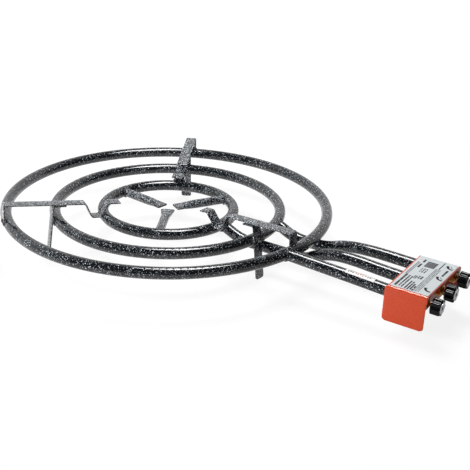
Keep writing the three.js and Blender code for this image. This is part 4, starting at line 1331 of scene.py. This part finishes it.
def add_world():
    """White for the camera. Reflections see a pale wall behind the object and a dim room elsewhere."""
    world = bpy.data.worlds.new("studio")
    bpy.context.scene.world = world
    world.use_nodes = True
    tree = world.node_tree
    tree.nodes.clear()
    rays = tree.nodes.new("ShaderNodeLightPath").outputs
    glossy, camera = rays["Is Glossy Ray"], rays["Is Camera Ray"]
    direction = tree.nodes.new("ShaderNodeTexCoord").outputs["Generated"]
    inputs = {0: direction, 1: WALL_DIRECTION}
    rear = add_node(tree, "ShaderNodeVectorMath", inputs, operation="DOT_PRODUCT").outputs["Value"]
    height = add_node(tree, "ShaderNodeSeparateXYZ", {"Vector": direction}).outputs["Z"]
    wall = math_node(tree, "MULTIPLY", ramp(tree, rear, -0.2, 0.4), ramp(tree, height, 0.62, 0.92, 1.0, 0.0))
    shown = math_node(tree, "MULTIPLY_ADD", wall, WALL_STRENGTH - ROOM_STRENGTH, ROOM_STRENGTH)
    rest = math_node(tree, "SUBTRACT", 1.0, math_node(tree, "MAXIMUM", glossy, camera))
    strength = math_node(tree, "MULTIPLY_ADD", glossy, shown, camera)
    strength = math_node(tree, "MULTIPLY_ADD", rest, FILL_STRENGTH, strength)
    background = made(tree, "ShaderNodeBackground", {"Color": (1, 1, 1, 1), "Strength": strength})
    add_node(tree, "ShaderNodeOutputWorld", {0: background})


def add_light(name, place, target, size, power, mirrored=True, spread=True):
    """A softbox. mirrored: it shows in reflections. spread: it lights matt surfaces."""
    light = bpy.data.lights.new(name, "AREA")
    light.shape = "RECTANGLE"
    light.size, light.size_y = size
    light.energy = power
    obj = new_object(name, light)
    obj.location = place
    obj.rotation_euler = (Vector(target) - Vector(place)).to_track_quat("-Z", "Y").to_euler()
    obj.visible_glossy = mirrored
    obj.visible_diffuse = spread


def add_lights():
    add_light("overhead_softbox", (-0.02, 0.10, 1.4), (-0.02, 0.1, 0.0), (0.72, 0.56), 28.0, spread=False)
    add_light("overhead_fill", (-0.25, 0.45, 1.4), (-0.1, 0.1, 0.0), (0.8, 0.8), 18.0, mirrored=False)
    add_light("front_key", (-0.9, -2.0, 0.75), (0.1, 0.0, 0.05), (1.2, 1.2), 54.0, mirrored=False)


def add_camera():
    azimuth, elevation = math.radians(CAMERA_AZIMUTH), math.radians(CAMERA_ELEVATION)
    roll = math.radians(CAMERA_ROLL)
    ahead = Vector((math.sin(azimuth), -math.cos(azimuth), 0))
    back = ahead * math.cos(elevation) + Vector((0, 0, math.sin(elevation)))
    level = Vector((math.cos(azimuth), math.sin(azimuth), 0))
    upright = back.cross(level)
    right = level * math.cos(roll) + upright * math.sin(roll)
    up = upright * math.cos(roll) - level * math.sin(roll)
    camera = bpy.data.cameras.new("camera")
    camera.lens = CAMERA_LENS
    camera.sensor_width = SENSOR_WIDTH
    camera.clip_start, camera.clip_end = 0.05, 50
    obj = new_object("camera", camera)
    place = (Vector(CAMERA_TARGET) + back * CAMERA_DISTANCE) * MM
    obj.matrix_world = Matrix.Translation(place) @ Matrix((right, up, back)).transposed().to_4x4()
    bpy.context.scene.camera = obj


add_rings()
add_feed_tubes()
add_spokes()
add_supports()
add_legs()
add_strip_welds()
add_cover()
add_frame()
add_label()
add_tube_sticker()
for tap_number, tap_y in enumerate(TAP_Y, 1):
    add_tap(tap_number, tap_y)
add_rail()
add_floor()
add_world()
add_lights()
add_camera()
bpy.context.scene.view_settings.view_transform = "Standard"
